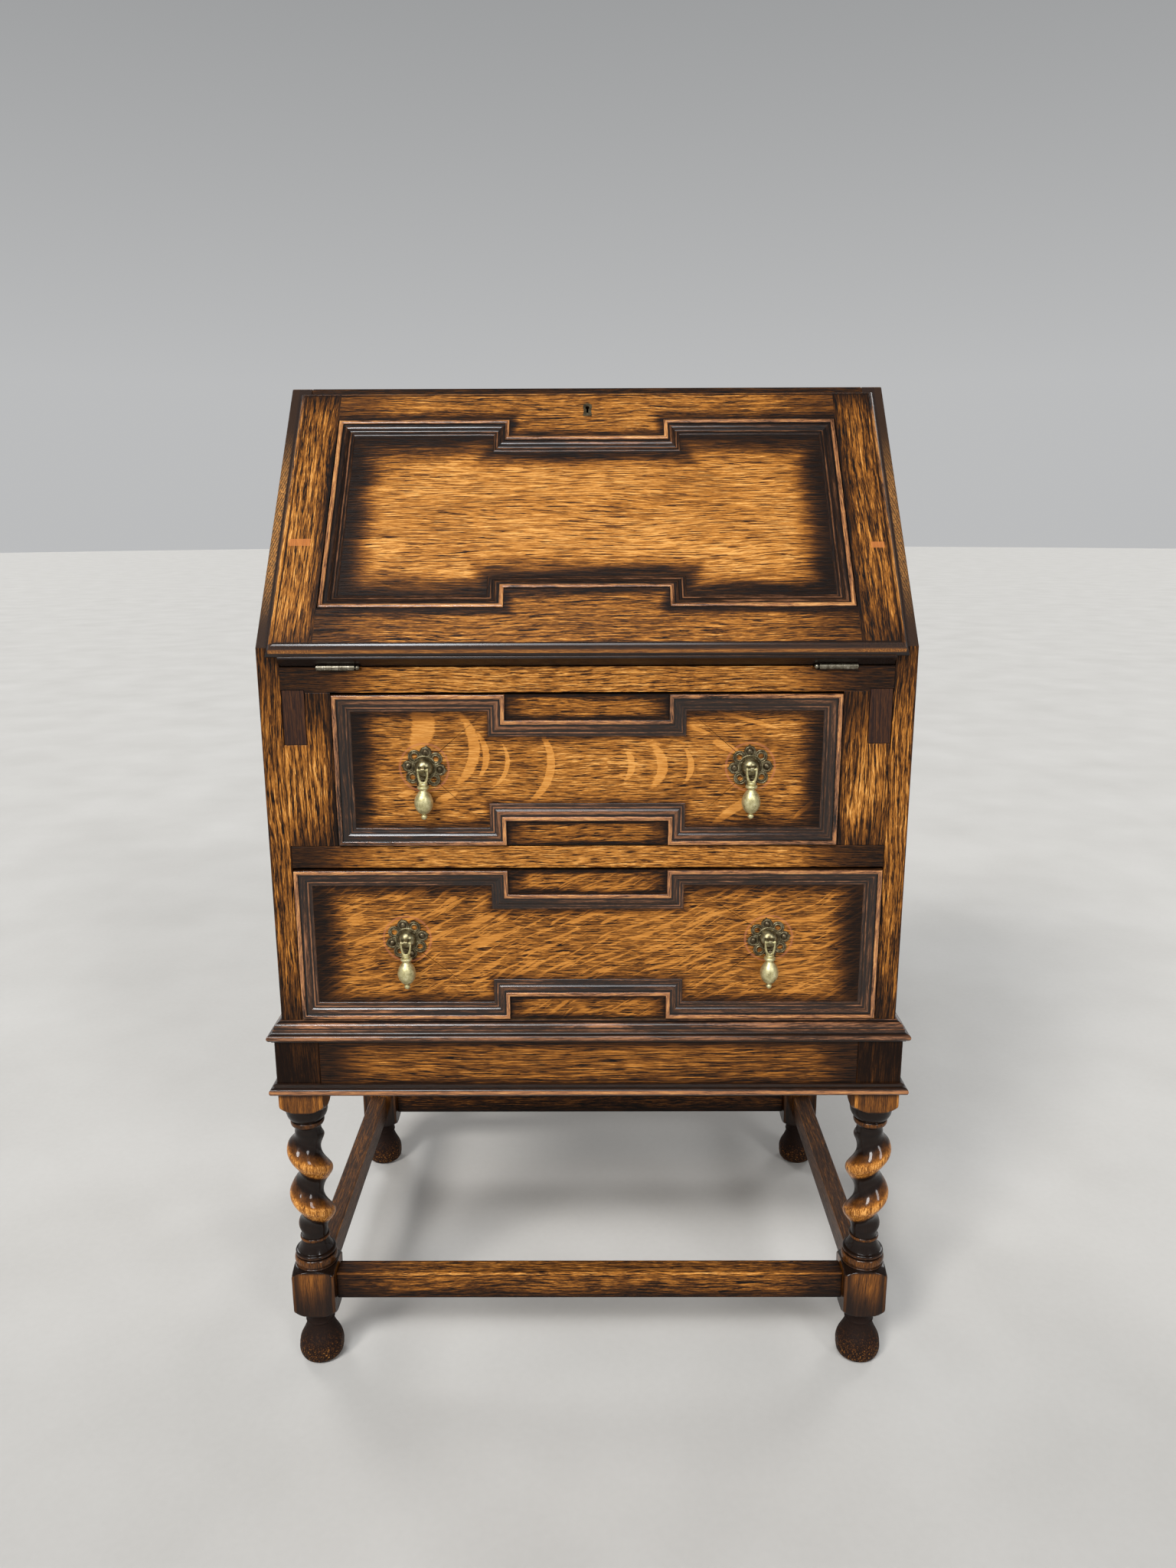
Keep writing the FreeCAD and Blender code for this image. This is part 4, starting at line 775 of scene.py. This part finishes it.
M_STEEL = brass("steel_lock", ((0.03, 0.028, 0.026), (0.10, 0.095, 0.09)), ((0.22, 0.21, 0.20), (0.36, 0.35, 0.33)), 0.42, 0.5)
M_ESC = brass("brass_escutcheon", DK_LO, ((0.14, 0.11, 0.065), (0.28, 0.23, 0.14)), 0.38, 0.4)

for nm in ("upper_backplates", "lower_backplates"):
    MATS[nm] = M_PLATE
for nm in ("upper_handle_posts", "lower_handle_posts"):
    MATS[nm] = M_DOME
for nm in ("upper_pull_left", "upper_pull_right", "lower_pull_left", "lower_pull_right"):
    MATS[nm] = M_PULL
for nm in ("hinge_leaves_fall", "hinge_leaves_rail", "hinge_pins", "hinge_screws_fall", "hinge_screws_rail"):
    MATS[nm] = M_HINGE
for nm in ("lock_bolt", "lock_case", "strike_plate"):
    MATS[nm] = M_STEEL
MATS["escutcheon"] = M_ESC
MATS["fall_moulding"] = M_FALL_MOULD
MATS["upper_drawer_moulding"] = M_UP_MOULD
MATS["lower_drawer_moulding"] = M_LO_MOULD
MATS["waist_moulding"] = M_WAIST
MATS["apron_bead"] = M_BEAD
LEGS = {"leg_front_left": (-LEG_X, LEG_YF, 1), "leg_rear_left": (-LEG_X, LEG_YR, 1), "leg_front_right": (LEG_X, LEG_YF, -1), "leg_rear_right": (LEG_X, LEG_YR, -1)}
for i, (nm, (cx, cy, hand)) in enumerate(LEGS.items()):
    MATS[nm] = leg_mat("oak_" + nm, cx, cy, 40 + i)

for n, ob in NODES.items():
    mat = MATS.get(n)
    if mat is None:
        raise RuntimeError("no material for " + n)
    for sl in ob.material_slots:
        sl.material = mat

# ============================================================ softened arrises on the CAD's flat work
SOFT = {"fall_panel": 0, "side_panel_left": 1.2, "side_panel_right": 1.2, "top_board": 1.2, "top_rail": 0.8, "mid_rail": 0.9, "front_stiles": 0.8, "frieze_front": 0.8,
        "frieze_sides": 0.8, "frieze_rear": 1.0, "stretcher_front": 1.6, "stretcher_sides": 1.6, "stretcher_rear": 1.6, "loper_left": 0.7, "loper_right": 0.7,
        "writing_bed": 0.8, "pigeonholes": 0.8, "upper_drawer_carcase": 1.0, "lower_drawer_carcase": 1.0, "upper_drawer_bottom": 0.5, "lower_drawer_bottom": 0.5,
        "back_panel": 0.8, "bottom_board": 0.8, "drawer_runners": 0.8, "drawer_stops": 0.6, "loper_bearers": 0.8, "loper_guide_strips": 0.8,
        "upper_drawer_front": 0.6, "lower_drawer_front": 0.6, "lock_case": 0.4, "strike_plate": 0.2, "lock_bolt": 0.3}
for n, w in SOFT.items():
    if not w:
        continue
    ob = NODES[n]
    md = ob.modifiers.new("weld", "WELD")
    md.merge_threshold = 1e-5
    md = ob.modifiers.new("arris", "BEVEL")
    md.width = w * 0.001
    md.segments = 2
    md.limit_method = "ANGLE"
    md.angle_limit = math.radians(40)
    md.use_clamp_overlap = True
    md.harden_normals = False

# ============================================================ refined pieces
def rail_strip(verts, faces, stations, n_prof):
    """a closed length: stations x profile points, capped at both ends"""
    base = len(verts)
    for st in stations:
        verts.extend(st)
    for i in range(len(stations) - 1):
        for j in range(n_prof):
            k = (j + 1) % n_prof
            faces.append((base + i * n_prof + j, base + i * n_prof + k, base + (i + 1) * n_prof + k, base + (i + 1) * n_prof + j))
    faces.append(tuple(base + j for j in range(n_prof))[::-1])
    last = base + (len(stations) - 1) * n_prof
    faces.append(tuple(last + j for j in range(n_prof)))


MPROF = [(0.0, 0.0), (0.0, 2.2), (0.0, 4.2)] + bez((0.0, 4.2), (0.0, 5.05), (0.8, 5.6), (2.1, 5.6), 5) + bez((2.1, 5.6), (3.4, 5.6), (4.2, 5.2), (4.5, 4.4), 5) + \
    [(4.7, 3.45), (5.3, 3.45)] + bez((5.3, 3.45), (6.6, 3.5), (7.9, 3.4), (9.0, 3.0), 5) + bez((9.0, 3.0), (10.1, 2.6), (10.5, 1.5), (11.8, 1.42), 5) + \
    [(13.3, 1.40), (13.5, 0.74), (15.4, 0.66)] + bez((15.4, 0.66), (16.0, 0.62), (16.3, 0.4), (16.5, 0.0), 3)


def outline(half, b0, b1, jx, j0, j1):
    return [(-half, b0), (-jx, b0), (-jx, j0), (jx, j0), (jx, b0), (half, b0), (half, b1), (jx, b1), (jx, j1), (-jx, j1), (-jx, b1), (-half, b1)]


def moulding(name, out, to3, body, mat, node, seed):
    n = len(out)
    nrm = []
    for i in range(n):
        (x0, y0), (x1, y1) = out[i], out[(i + 1) % n]
        l = math.hypot(x1 - x0, y1 - y0)
        nrm.append((-(y1 - y0) / l, (x1 - x0) / l))          # inwards for this winding
    verts, faces = [], []
    for i in range(n):
        p, q = out[i], out[(i + 1) % n]
        na, nb_, nc = nrm[i - 1], nrm[i], nrm[(i + 1) % n]
        length = math.hypot(q[0] - p[0], q[1] - p[1])
        steps = max(2, int(length / 7.0))
        stations = []
        for k in range(steps + 1):
            t = k / steps
            st = []
            for d, h in MPROF:
                a = (p[0] + d * (na[0] + nb_[0]), p[1] + d * (na[1] + nb_[1]))
                b = (q[0] + d * (nb_[0] + nc[0]), q[1] + d * (nb_[1] + nc[1]))
                x, y = a[0] + (b[0] - a[0]) * t, a[1] + (b[1] - a[1]) * t
                hh = h
                if h > 0.2:
                    hh = h * (1.0 + wobble((x, y, d * 0.4), 0.045, 0.030, seed)) - max(0.0, wobble((x, y, d), 0.16, 0.16, seed + 5.0))
                st.append(to3(x, y, min(hh, 5.6)))
            stations.append(st)
        rail_strip(verts, faces, stations, len(MPROF))
    return mesh_object(name, verts, faces, body, mat, (node,), True, 38.0)


def on_slope(x, s, h):
    o = 7.0 + h
    return P(x, COS * s - SIN * o, 766.5 + SIN * s + COS * o)


moulding("fall_moulding_run", outline(249.0, 36.0, 261.0, 77.0, 57.5, 240.0), on_slope, "fall", M_FALL_MOULD, "fall_moulding", 1.0)
moulding("upper_moulding_run", outline(UD["half"], UD["z0"], UD["z1"], JX, UD["z0"] + JD, UD["z1"] - JD), lambda x, z, h: P(x, 2.0 - h, z), "upper_drawer", M_UP_MOULD,
         "upper_drawer_moulding", 2.0)
moulding("lower_moulding_run", outline(LD["half"], LD["z0"], LD["z1"], JX, LD["z0"] + JD, LD["z1"] - JD), lambda x, z, h: P(x, 2.0 - h, z), "lower_drawer", M_LO_MOULD,
         "lower_drawer_moulding", 3.0)


# --- mitred runs round the front and sides
def catmull(pts, n):
    """a smooth line through the points, n steps a span"""
    out = [pts[0]]
    for i in range(len(pts) - 1):
        p0, p1, p2, p3 = pts[max(i - 1, 0)], pts[i], pts[i + 1], pts[min(i + 2, len(pts) - 1)]
        for k in range(1, n + 1):
            t = k / n
            out.append(tuple(0.5 * (2 * b + (c - a) * t + (2 * a - 5 * b + 4 * c - d) * t * t + (3 * b - a - 3 * c + d) * t ** 3) for a, b, c, d in zip(p0, p1, p2, p3)))
    return out


STAND_OUT, STAND_REAR, CASE_HALF = 312.1, 422.2, 305.0


def run_round(name, prof, body, mat, node, seed):
    verts, faces = [], []
    n = len(prof)

    def shaped(pos, o, z, inner):
        if inner:
            return o, z
        w = wobble((pos[0], pos[1], z), 0.04, 0.16, seed)
        dent = max(0.0, wobble((pos[0], pos[1], z), 0.14, 0.22, seed + 9.0))
        return o - abs(w) * 0.6 - dent * 0.7, z

    st = []
    steps = 90
    for k in range(steps + 1):
        row = []
        t = k / steps
        for (o, z, inner) in prof:
            x = -(CASE_HALF + o) + 2 * (CASE_HALF + o) * t
            oo, zz = shaped((x, 0.0), o, z, inner)
            row.append(P(x, -oo, zz))
        st.append(row)
    rail_strip(verts, faces, st, n)
    for sg in (-1, 1):
        st = []
        steps = 62
        for k in range(steps + 1):
            row = []
            t = k / steps
            for (o, z, inner) in prof:
                y = -o + (STAND_REAR + o) * t
                oo, zz = shaped((sg * 305.0, y), o, z, inner)
                row.append(P(sg * (CASE_HALF + oo), y, zz))
            st.append(row)
        rail_strip(verts, faces, st, n)
    return mesh_object(name, verts, faces, body, mat, (node,), True, 38.0)


O1 = STAND_OUT - CASE_HALF
wp = [(0.0, 380.0, True), (0.0, 397.2, True), (1.0, 397.2, False)]
for q in catmull([(1.3, 396.2), (2.9, 395.6), (4.6, 394.4), (5.9, 392.7), (6.6, 390.8), (6.7, 389.2)], 2):
    wp.append((*q, False))
for q in catmull([(7.6, 389.0), (7.7, 387.9), (8.1, 386.6), (9.0, 385.6), (10.2, 385.1)], 2):
    wp.append((*q, False))
for q in catmull([(11.6, 384.7), (12.6, 383.6), (13.0, 382.2), (12.8, 380.7), (11.9, 379.3), (10.6, 378.3), (9.2, 377.8)], 2):
    wp.append((*q, False))
wp += [(9.0, 376.9, False), (O1, 376.8, True), (O1, 380.0, True)]
run_round("waist_run", wp, "desk", M_WAIST, "waist_moulding", 4.0)
bp = [(O1, 331.4, True), (9.2, 331.3, False), (9.8, 330.8, False), (9.8, 329.2, False), (9.0, 328.6, False), (9.1, 327.8, False)]
for q in catmull([(11.2, 327.6), (12.7, 326.8), (13.6, 325.3), (13.8, 323.5), (13.3, 321.8), (12.1, 320.5), (10.4, 319.9)], 3):
    bp.append((*q, False))
bp += [(O1, 319.9, True)]
run_round("apron_run", bp, "desk", M_BEAD, "apron_bead", 6.0)


# --- legs
HALF = 22.25


def square_r(th, rad=1.3):
    """radius of a square block with eased corners, at an angle"""
    c, s = abs(math.cos(th)), abs(math.sin(th))
    if c < s:
        c, s = s, c
    r = HALF / c
    y = r * s
    k = HALF - rad
    if y > k:
        # on the eased corner: distance along the ray to the small circle at (k, k)
        b = c * k + s * k
        r = b + math.sqrt(max(0.0, b * b - (2 * k * k - rad * rad)))
    return r


def leg_rings():
    runs = []

    def smooth(pts, n=3):
        runs.extend(("r", r, z) for r, z in catmull(pts, n))

    def plain(pts):
        runs.extend(("r", r, z) for r, z in pts)

    smooth([(15.0, 0.0), (18.4, 1.0), (21.3, 3.6), (23.1, 8.0), (23.7, 13.0), (23.3, 18.4), (21.6, 24.4), (18.9, 29.8), (16.6, 34.6), (15.0, 38.8), (14.4, 41.6), (14.3, 43.6)])
    smooth([(14.5, 43.7), (15.3, 45.0), (14.8, 46.6)], 4)
    smooth([(14.7, 46.8), (15.0, 50.0), (16.6, 54.5), (17.4, 58.3)])
    smooth([(17.8, 58.6), (20.6, 59.4), (25.2, 60.9), (28.7, 63.7), (32.6, 68.5)])
    plain([(33.0, 76.0), (33.0, 84.0), (33.0, 92.0), (33.0, 100.0)])
    smooth([(33.0, 106.0), (28.2, 110.4), (24.8, 112.5), (22.4, 113.7), (21.6, 114.0)])
    smooth([(21.7, 114.6), (21.8, 115.6), (21.0, 116.3)], 3)
    plain([(20.7, 116.5), (20.7, 117.0)])
    smooth([(20.9, 117.1), (21.9, 118.4), (22.2, 121.0), (21.9, 123.4), (20.9, 125.2), (19.7, 125.8)])
    plain([(19.4, 125.9), (19.4, 126.5)])
    smooth([(19.7, 126.7), (20.9, 127.4), (21.1, 129.0), (20.3, 130.4), (18.9, 131.0)])
    smooth([(18.4, 131.2), (17.6, 132.6), (16.0, 135.6), (14.6, 139.0), (13.7, 142.4), (13.6, 143.1)])
    smooth([(13.7, 143.3), (14.9, 143.8), (15.4, 145.2), (14.9, 146.7), (13.7, 147.3)])
    plain([(13.6, 147.6), (13.6, 148.8)])
    n = 120
    for i in range(n + 1):
        runs.append(("t", 0.0, 150.0 + 118.0 * i / n))
    smooth([(13.3, 270.0), (13.2, 271.5), (13.5, 273.8), (14.8, 274.9)])
    smooth([(15.2, 275.1), (16.2, 276.0), (17.0, 277.6), (17.2, 279.4), (16.7, 281.0), (15.6, 281.8)])
    smooth([(15.5, 282.0), (15.8, 282.6), (17.6, 283.6), (19.6, 286.0), (20.8, 289.2), (21.3, 292.6), (21.6, 295.9)])
    smooth([(22.0, 296.2), (23.4, 297.0), (25.25, 298.4), (28.75, 301.2), (32.8, 306.0)])
    plain([(33.0, 314.0), (33.0, 330.0), (33.0, 350.0), (33.0, 366.0), (33.0, 380.0)])
    return runs


RINGS = leg_rings()


def build_leg(name, cx, cy, hand, seed):
    seg = 80
    angs = []
    for i in range(seg):
        th = 2 * math.pi * (i + 0.5) / seg
        # gather stations near the four corners, so that the arrises are round
        th += 0.115 * math.sin(4 * th) * 1.0
        angs.append(th)
    verts, faces = [], []
    for kind, r0, z in RINGS:
        ox = oy = 0.0
        lim = r0
        if kind == "t":
            f = min(1.0, (z - 150.0) / 15.0, (268.0 - z) / 15.0)
            f = f * f * (3 - 2 * f)
            e = 5.5 * f
            lim = 13.6 + (17.4 - 13.6) * f
            ang = math.pi - 2 * math.pi * (z - 248.5) / 50.0
            ox, oy = e * math.cos(ang) * hand, e * math.sin(ang)
        for th in angs:
            r = min(lim, square_r(th)) if lim > 21.5 else lim
            x, y = ox + r * math.cos(th), oy + r * math.sin(th)
            sc = 1.0
            if 3.0 < z < 318.0:
                sc = 1.0 - abs(wobble((x + cx, y + cy, z), 0.05, 0.010, seed)) - (max(0.0, wobble((x + cx, y + cy, z), 0.22, 0.012, seed + 3.0)) if z > 58.0 else 0.0)
            verts.append(P(cx + x * sc, cy + y * sc, z))
    n = len(RINGS)
    for i in range(n - 1):
        for j in range(seg):
            k = (j + 1) % seg
            faces.append((i * seg + j, i * seg + k, (i + 1) * seg + k, (i + 1) * seg + j))
    faces.append(tuple(range(seg))[::-1])
    faces.append(tuple((n - 1) * seg + j for j in range(seg)))
    return mesh_object(name + "_turned", verts, faces, "desk", MATS[name], (name,), True, 42.0)


for i, (nm, (cx, cy, hand)) in enumerate(LEGS.items()):
    build_leg(nm, cx, cy, hand, 11.0 + i)


# --- pulls: pear drop on a shackle
def lathe(verts, faces, prof, to3, seg=40):
    """prof: (r, h) from one pole to the other, r = 0 at both ends"""
    base = len(verts)
    rings = []
    for r, h in prof:
        if r < 1e-6:
            verts.append(to3(0.0, 0.0, h))
            rings.append([len(verts) - 1])
        else:
            rings.append([])
            for i in range(seg):
                a = 2 * math.pi * i / seg
                verts.append(to3(r * math.cos(a), r * math.sin(a), h))
                rings[-1].append(len(verts) - 1)
    for a, b in zip(rings, rings[1:]):
        for i in range(seg):
            j = (i + 1) % seg
            if len(a) == 1:
                faces.append((a[0], b[i], b[j]))
            elif len(b) == 1:
                faces.append((a[i], b[0], a[j]))
            else:
                faces.append((a[i], b[i], b[j], a[j]))


def tube(verts, faces, path, ra, rb, up, seg=14, closed=False, caps=True):
    """a tube with an oval section; ra(t) in the plane of the path, rb(t) along 'up'"""
    n = len(path)
    base = len(verts)
    for i, p in enumerate(path):
        a = path[(i - 1) % n] if (closed or i > 0) else path[i]
        b = path[(i + 1) % n] if (closed or i < n - 1) else path[i]
        tg = (Vector(b) - Vector(a)).normalized()
        side = tg.cross(Vector(up)).normalized()
        u = side.cross(tg).normalized()
        t = i / (n if closed else n - 1)
        for k in range(seg):
            th = 2 * math.pi * k / seg
            verts.append(Vector(p) + side * (ra(t) * 0.001 * math.cos(th)) + u * (rb(t) * 0.001 * math.sin(th)))
    last = n if closed else n - 1
    for i in range(last):
        i2 = (i + 1) % n
        for k in range(seg):
            k2 = (k + 1) % seg
            faces.append((base + i * seg + k, base + i * seg + k2, base + i2 * seg + k2, base + i2 * seg + k))
    if not closed and caps:
        faces.append(tuple(base + k for k in range(seg))[::-1])
        faces.append(tuple(base + (n - 1) * seg + k for k in range(seg)))


PULL_Y = -9.5
PEAR = [(0.0, -47.6)] + catmull([(0.9, -47.5), (2.1, -46.7), (2.95, -45.0), (2.6, -43.4), (1.7, -42.5)], 4) + [(1.6, -42.3)] + \
    catmull([(2.2, -42.1), (4.2, -41.2), (6.1, -39.2), (7.8, -36.4), (8.8, -32.6), (8.7, -29.2), (7.5, -25.2), (5.6, -22.0), (4.2, -20.0), (3.5, -19.0), (3.3, -18.5)], 4) + \
    catmull([(3.6, -18.3), (5.3, -17.6), (5.7, -16.4), (5.2, -15.2), (3.8, -14.6)], 4) + catmull([(3.6, -14.4), (4.1, -13.6), (4.0, -12.6), (3.0, -12.0)], 3) + [(0.0, -11.8)]


def build_pull(name, x, z):
    verts, faces = [], []
    lathe(verts, faces, PEAR, lambda a, b, h: P(x + a, PULL_Y + b, z + h), 40)
    pts = catmull([(-4.45, 1.0), (-4.5, -1.6), (-4.35, -4.6), (-3.8, -7.8), (-2.9, -10.6), (-1.5, -12.3), (0.0, -12.8), (1.5, -12.3), (2.9, -10.6), (3.8, -7.8), (4.35, -4.6), (4.5, -1.6),
                   (4.45, 1.0)], 4)
    tube(verts, faces, [P(x + a, PULL_Y, z + h) for a, h in pts], lambda t: 0.92 + 0.75 * (1 - abs(2 * t - 1)) ** 2, lambda t: 1.15 + 0.25 * (1 - abs(2 * t - 1)), (0, 1, 0), 14)
    lathe(verts, faces, [(0.0, -5.5), (1.4, -5.3), (1.75, -4.8), (1.75, -4.2), (1.0, -3.4), (1.0, 3.4), (1.75, 4.2), (1.75, 4.8), (1.4, 5.3), (0.0, 5.5)],
          lambda a, b, h: P(x + h, PULL_Y + a, z + b), 20)
    return mesh_object(name + "_cast", verts, faces, name, M_PULL, (name,), True, 60.0)


for sg, sd in ((-1, "left"), (1, "right")):
    build_pull("upper_pull_" + sd, sg * UP_PULL[0], UP_PULL[1])
    build_pull("lower_pull_" + sd, sg * LO_PULL[0], LO_PULL[1])


# --- raised rims on the rosettes
def ring_at(verts, faces, c, R, r, seg=36, flat=0.8):
    path = [Vector((c[0] + 0.001 * R * math.cos(2 * math.pi * i / seg), c[1], c[2] + 0.001 * R * math.sin(2 * math.pi * i / seg))) for i in range(seg)]
    tube(verts, faces, path, lambda t: r, lambda t: r * flat, (0, 1, 0), 10, True)


def build_rims(name, body, px, pz, tilts):
    verts, faces = [], []
    for sg, tilt in zip((-1, 1), tilts):
        x, z = sg * px, pz
        ring_at(verts, faces, P(x, 0.75, z), 11.2, 0.85, 56)
        for k in range(8):
            a = math.radians(90 + tilt + 45 * k)
            if k % 2 == 0:
                c = P(x + 15.0 * math.cos(a), 0.7, z + 15.0 * math.sin(a))
                ring_at(verts, faces, c, 4.35, 0.42)
            else:
                c = P(x + 14.2 * math.cos(a), 0.7, z + 14.2 * math.sin(a))
                ring_at(verts, faces, c, 3.35, 0.62)
                ring_at(verts, faces, c, 5.55, 0.45)
    return mesh_object(name, verts, faces, body, M_RIM, (), True, 60.0)


M_RIM = brass("brass_rim", ((0.05, 0.038, 0.02), (0.16, 0.13, 0.07)), ((0.34, 0.29, 0.17), (0.60, 0.55, 0.36)), 0.34, 0.5)
build_rims("upper_rosette_rims", "upper_drawer", UP_PULL[0], UP_PULL[1], (-7.0, 3.0))
build_rims("lower_rosette_rims", "lower_drawer", LO_PULL[0], LO_PULL[1], (14.0, 8.0))

# ============================================================ camera
C = P(5.28, -1046.51, 886.61)
yaw, pitch, roll = math.radians(-0.25), math.radians(13.4), math.radians(-0.21)
F = Vector((math.sin(yaw) * math.cos(pitch), math.cos(yaw) * math.cos(pitch), -math.sin(pitch)))
R = Vector((math.cos(yaw), -math.sin(yaw), 0.0))
U = R.cross(F)
R2 = R * math.cos(roll) + U * math.sin(roll)
U2 = U * math.cos(roll) - R * math.sin(roll)
cam_data = bpy.data.cameras.new("camera")
cam = bpy.data.objects.new("camera", cam_data)
bpy.context.scene.collection.objects.link(cam)
m = Matrix.Identity(4)
for i in range(3):
    m[i][0], m[i][1], m[i][2], m[i][3] = R2[i], U2[i], -F[i], C[i]
cam.matrix_world = m
cam_data.sensor_fit = "AUTO"
cam_data.sensor_width = 36.0
cam_data.lens = 1488.1 / 2048.0 * 36.0
cam_data.clip_start, cam_data.clip_end = 0.02, 60.0
bpy.context.scene.camera = cam

# ============================================================ floor and light
gf = Mat("floor_pale")
nf1 = gf.noise(gf.vec(gf.x, gf.y, gf.z), 0.004, 3.0, 0.5)
nf2 = gf.noise(gf.vec(gf.x, gf.y, gf.z), 0.12, 2.0, 0.5)
gf.put(gf.bsdf.inputs["Base Color"], gf.ramp(nf1 * 0.8 + nf2 * 0.2, [(0.3, (0.50, 0.485, 0.46)), (0.7, (0.56, 0.545, 0.52))]))
gf.bsdf.inputs["Roughness"].default_value = 0.75
gf.bsdf.inputs["Specular IOR Level"].default_value = 0.2
bm = bmesh.new()
rings, seg, prev = (0.0, 0.8, 2.0, 5.0, 12.0, 30.0), 64, None
centre = bm.verts.new((0, 0, 0))
for r in rings[1:]:
    cur = [bm.verts.new((r * math.cos(2 * math.pi * i / seg), r * math.sin(2 * math.pi * i / seg), 0.0)) for i in range(seg)]
    for i in range(seg):
        j = (i + 1) % seg
        if prev is None:
            bm.faces.new((centre, cur[i], cur[j]))
        else:
            bm.faces.new((prev[i], cur[i], cur[j], prev[j]))
    prev = cur
me = bpy.data.meshes.new("floor")
bm.to_mesh(me)
bm.free()
me.materials.append(gf.mat)
floor = bpy.data.objects.new("floor", me)
bpy.context.scene.collection.objects.link(floor)
floor.location.z = -0.0004


def area(name, loc, target, sx, sy, power, col=(1, 1, 1)):
    d = bpy.data.lights.new(name, "AREA")
    d.shape, d.size, d.size_y = "RECTANGLE", sx, sy
    d.energy, d.color = power, col
    o = bpy.data.objects.new(name, d)
    bpy.context.scene.collection.objects.link(o)
    o.location = loc
    o.rotation_mode = "QUATERNION"
    o.rotation_quaternion = (Vector(target) - Vector(loc)).to_track_quat("-Z", "Y")
    return o


def sun(name, frm, power, angle, col=(1, 1, 1)):
    """a large soft lamp far away, so that the floor is evenly lit"""
    d = bpy.data.lights.new(name, "SUN")
    d.energy, d.angle, d.color = power, math.radians(angle), col
    o = bpy.data.objects.new(name, d)
    bpy.context.scene.collection.objects.link(o)
    o.location = Vector(frm).normalized() * 6.0
    o.rotation_mode = "QUATERNION"
    o.rotation_quaternion = (-Vector(frm)).to_track_quat("-Z", "Y")
    return o


sun("key", (-2.9, -4.2, 4.0), 1.75, 15.0, (1.0, 0.985, 0.96))
sun("key_right", (3.0, -4.4, 2.9), 0.70, 13.0, (0.97, 0.985, 1.0))
sun("front_top", (-0.4, -3.2, 4.3), 0.90, 24.0, (0.94, 0.97, 1.0))
sun("high", (-0.9, -3.1, 3.9), 0.75, 11.0, (0.93, 0.965, 1.0))
sun("back_left", (-3.4, 4.2, 3.8), 0.75, 20.0)
sun("back_right", (3.6, 3.8, 3.0), 0.60, 20.0)
world = bpy.data.worlds.new("studio")
bpy.context.scene.world = world
world.use_nodes = True
wt = world.node_tree
bg = wt.nodes["Background"]
tc = wt.nodes.new("ShaderNodeTexCoord")
sp_ = wt.nodes.new("ShaderNodeSeparateXYZ")
wt.links.new(tc.outputs["Generated"], sp_.inputs[0])
rp = wt.nodes.new("ShaderNodeValToRGB")
rp.color_ramp.elements[0].position, rp.color_ramp.elements[0].color = 0.10, (0.50, 0.505, 0.51, 1)
rp.color_ramp.elements[1].position, rp.color_ramp.elements[1].color = 0.75, (0.10, 0.105, 0.11, 1)
wt.links.new(sp_.outputs[2], rp.inputs[0])
wt.links.new(rp.outputs[0], bg.inputs[0])
bg.inputs[1].default_value = 1.0
bpy.context.scene.view_settings.view_transform = "Standard"
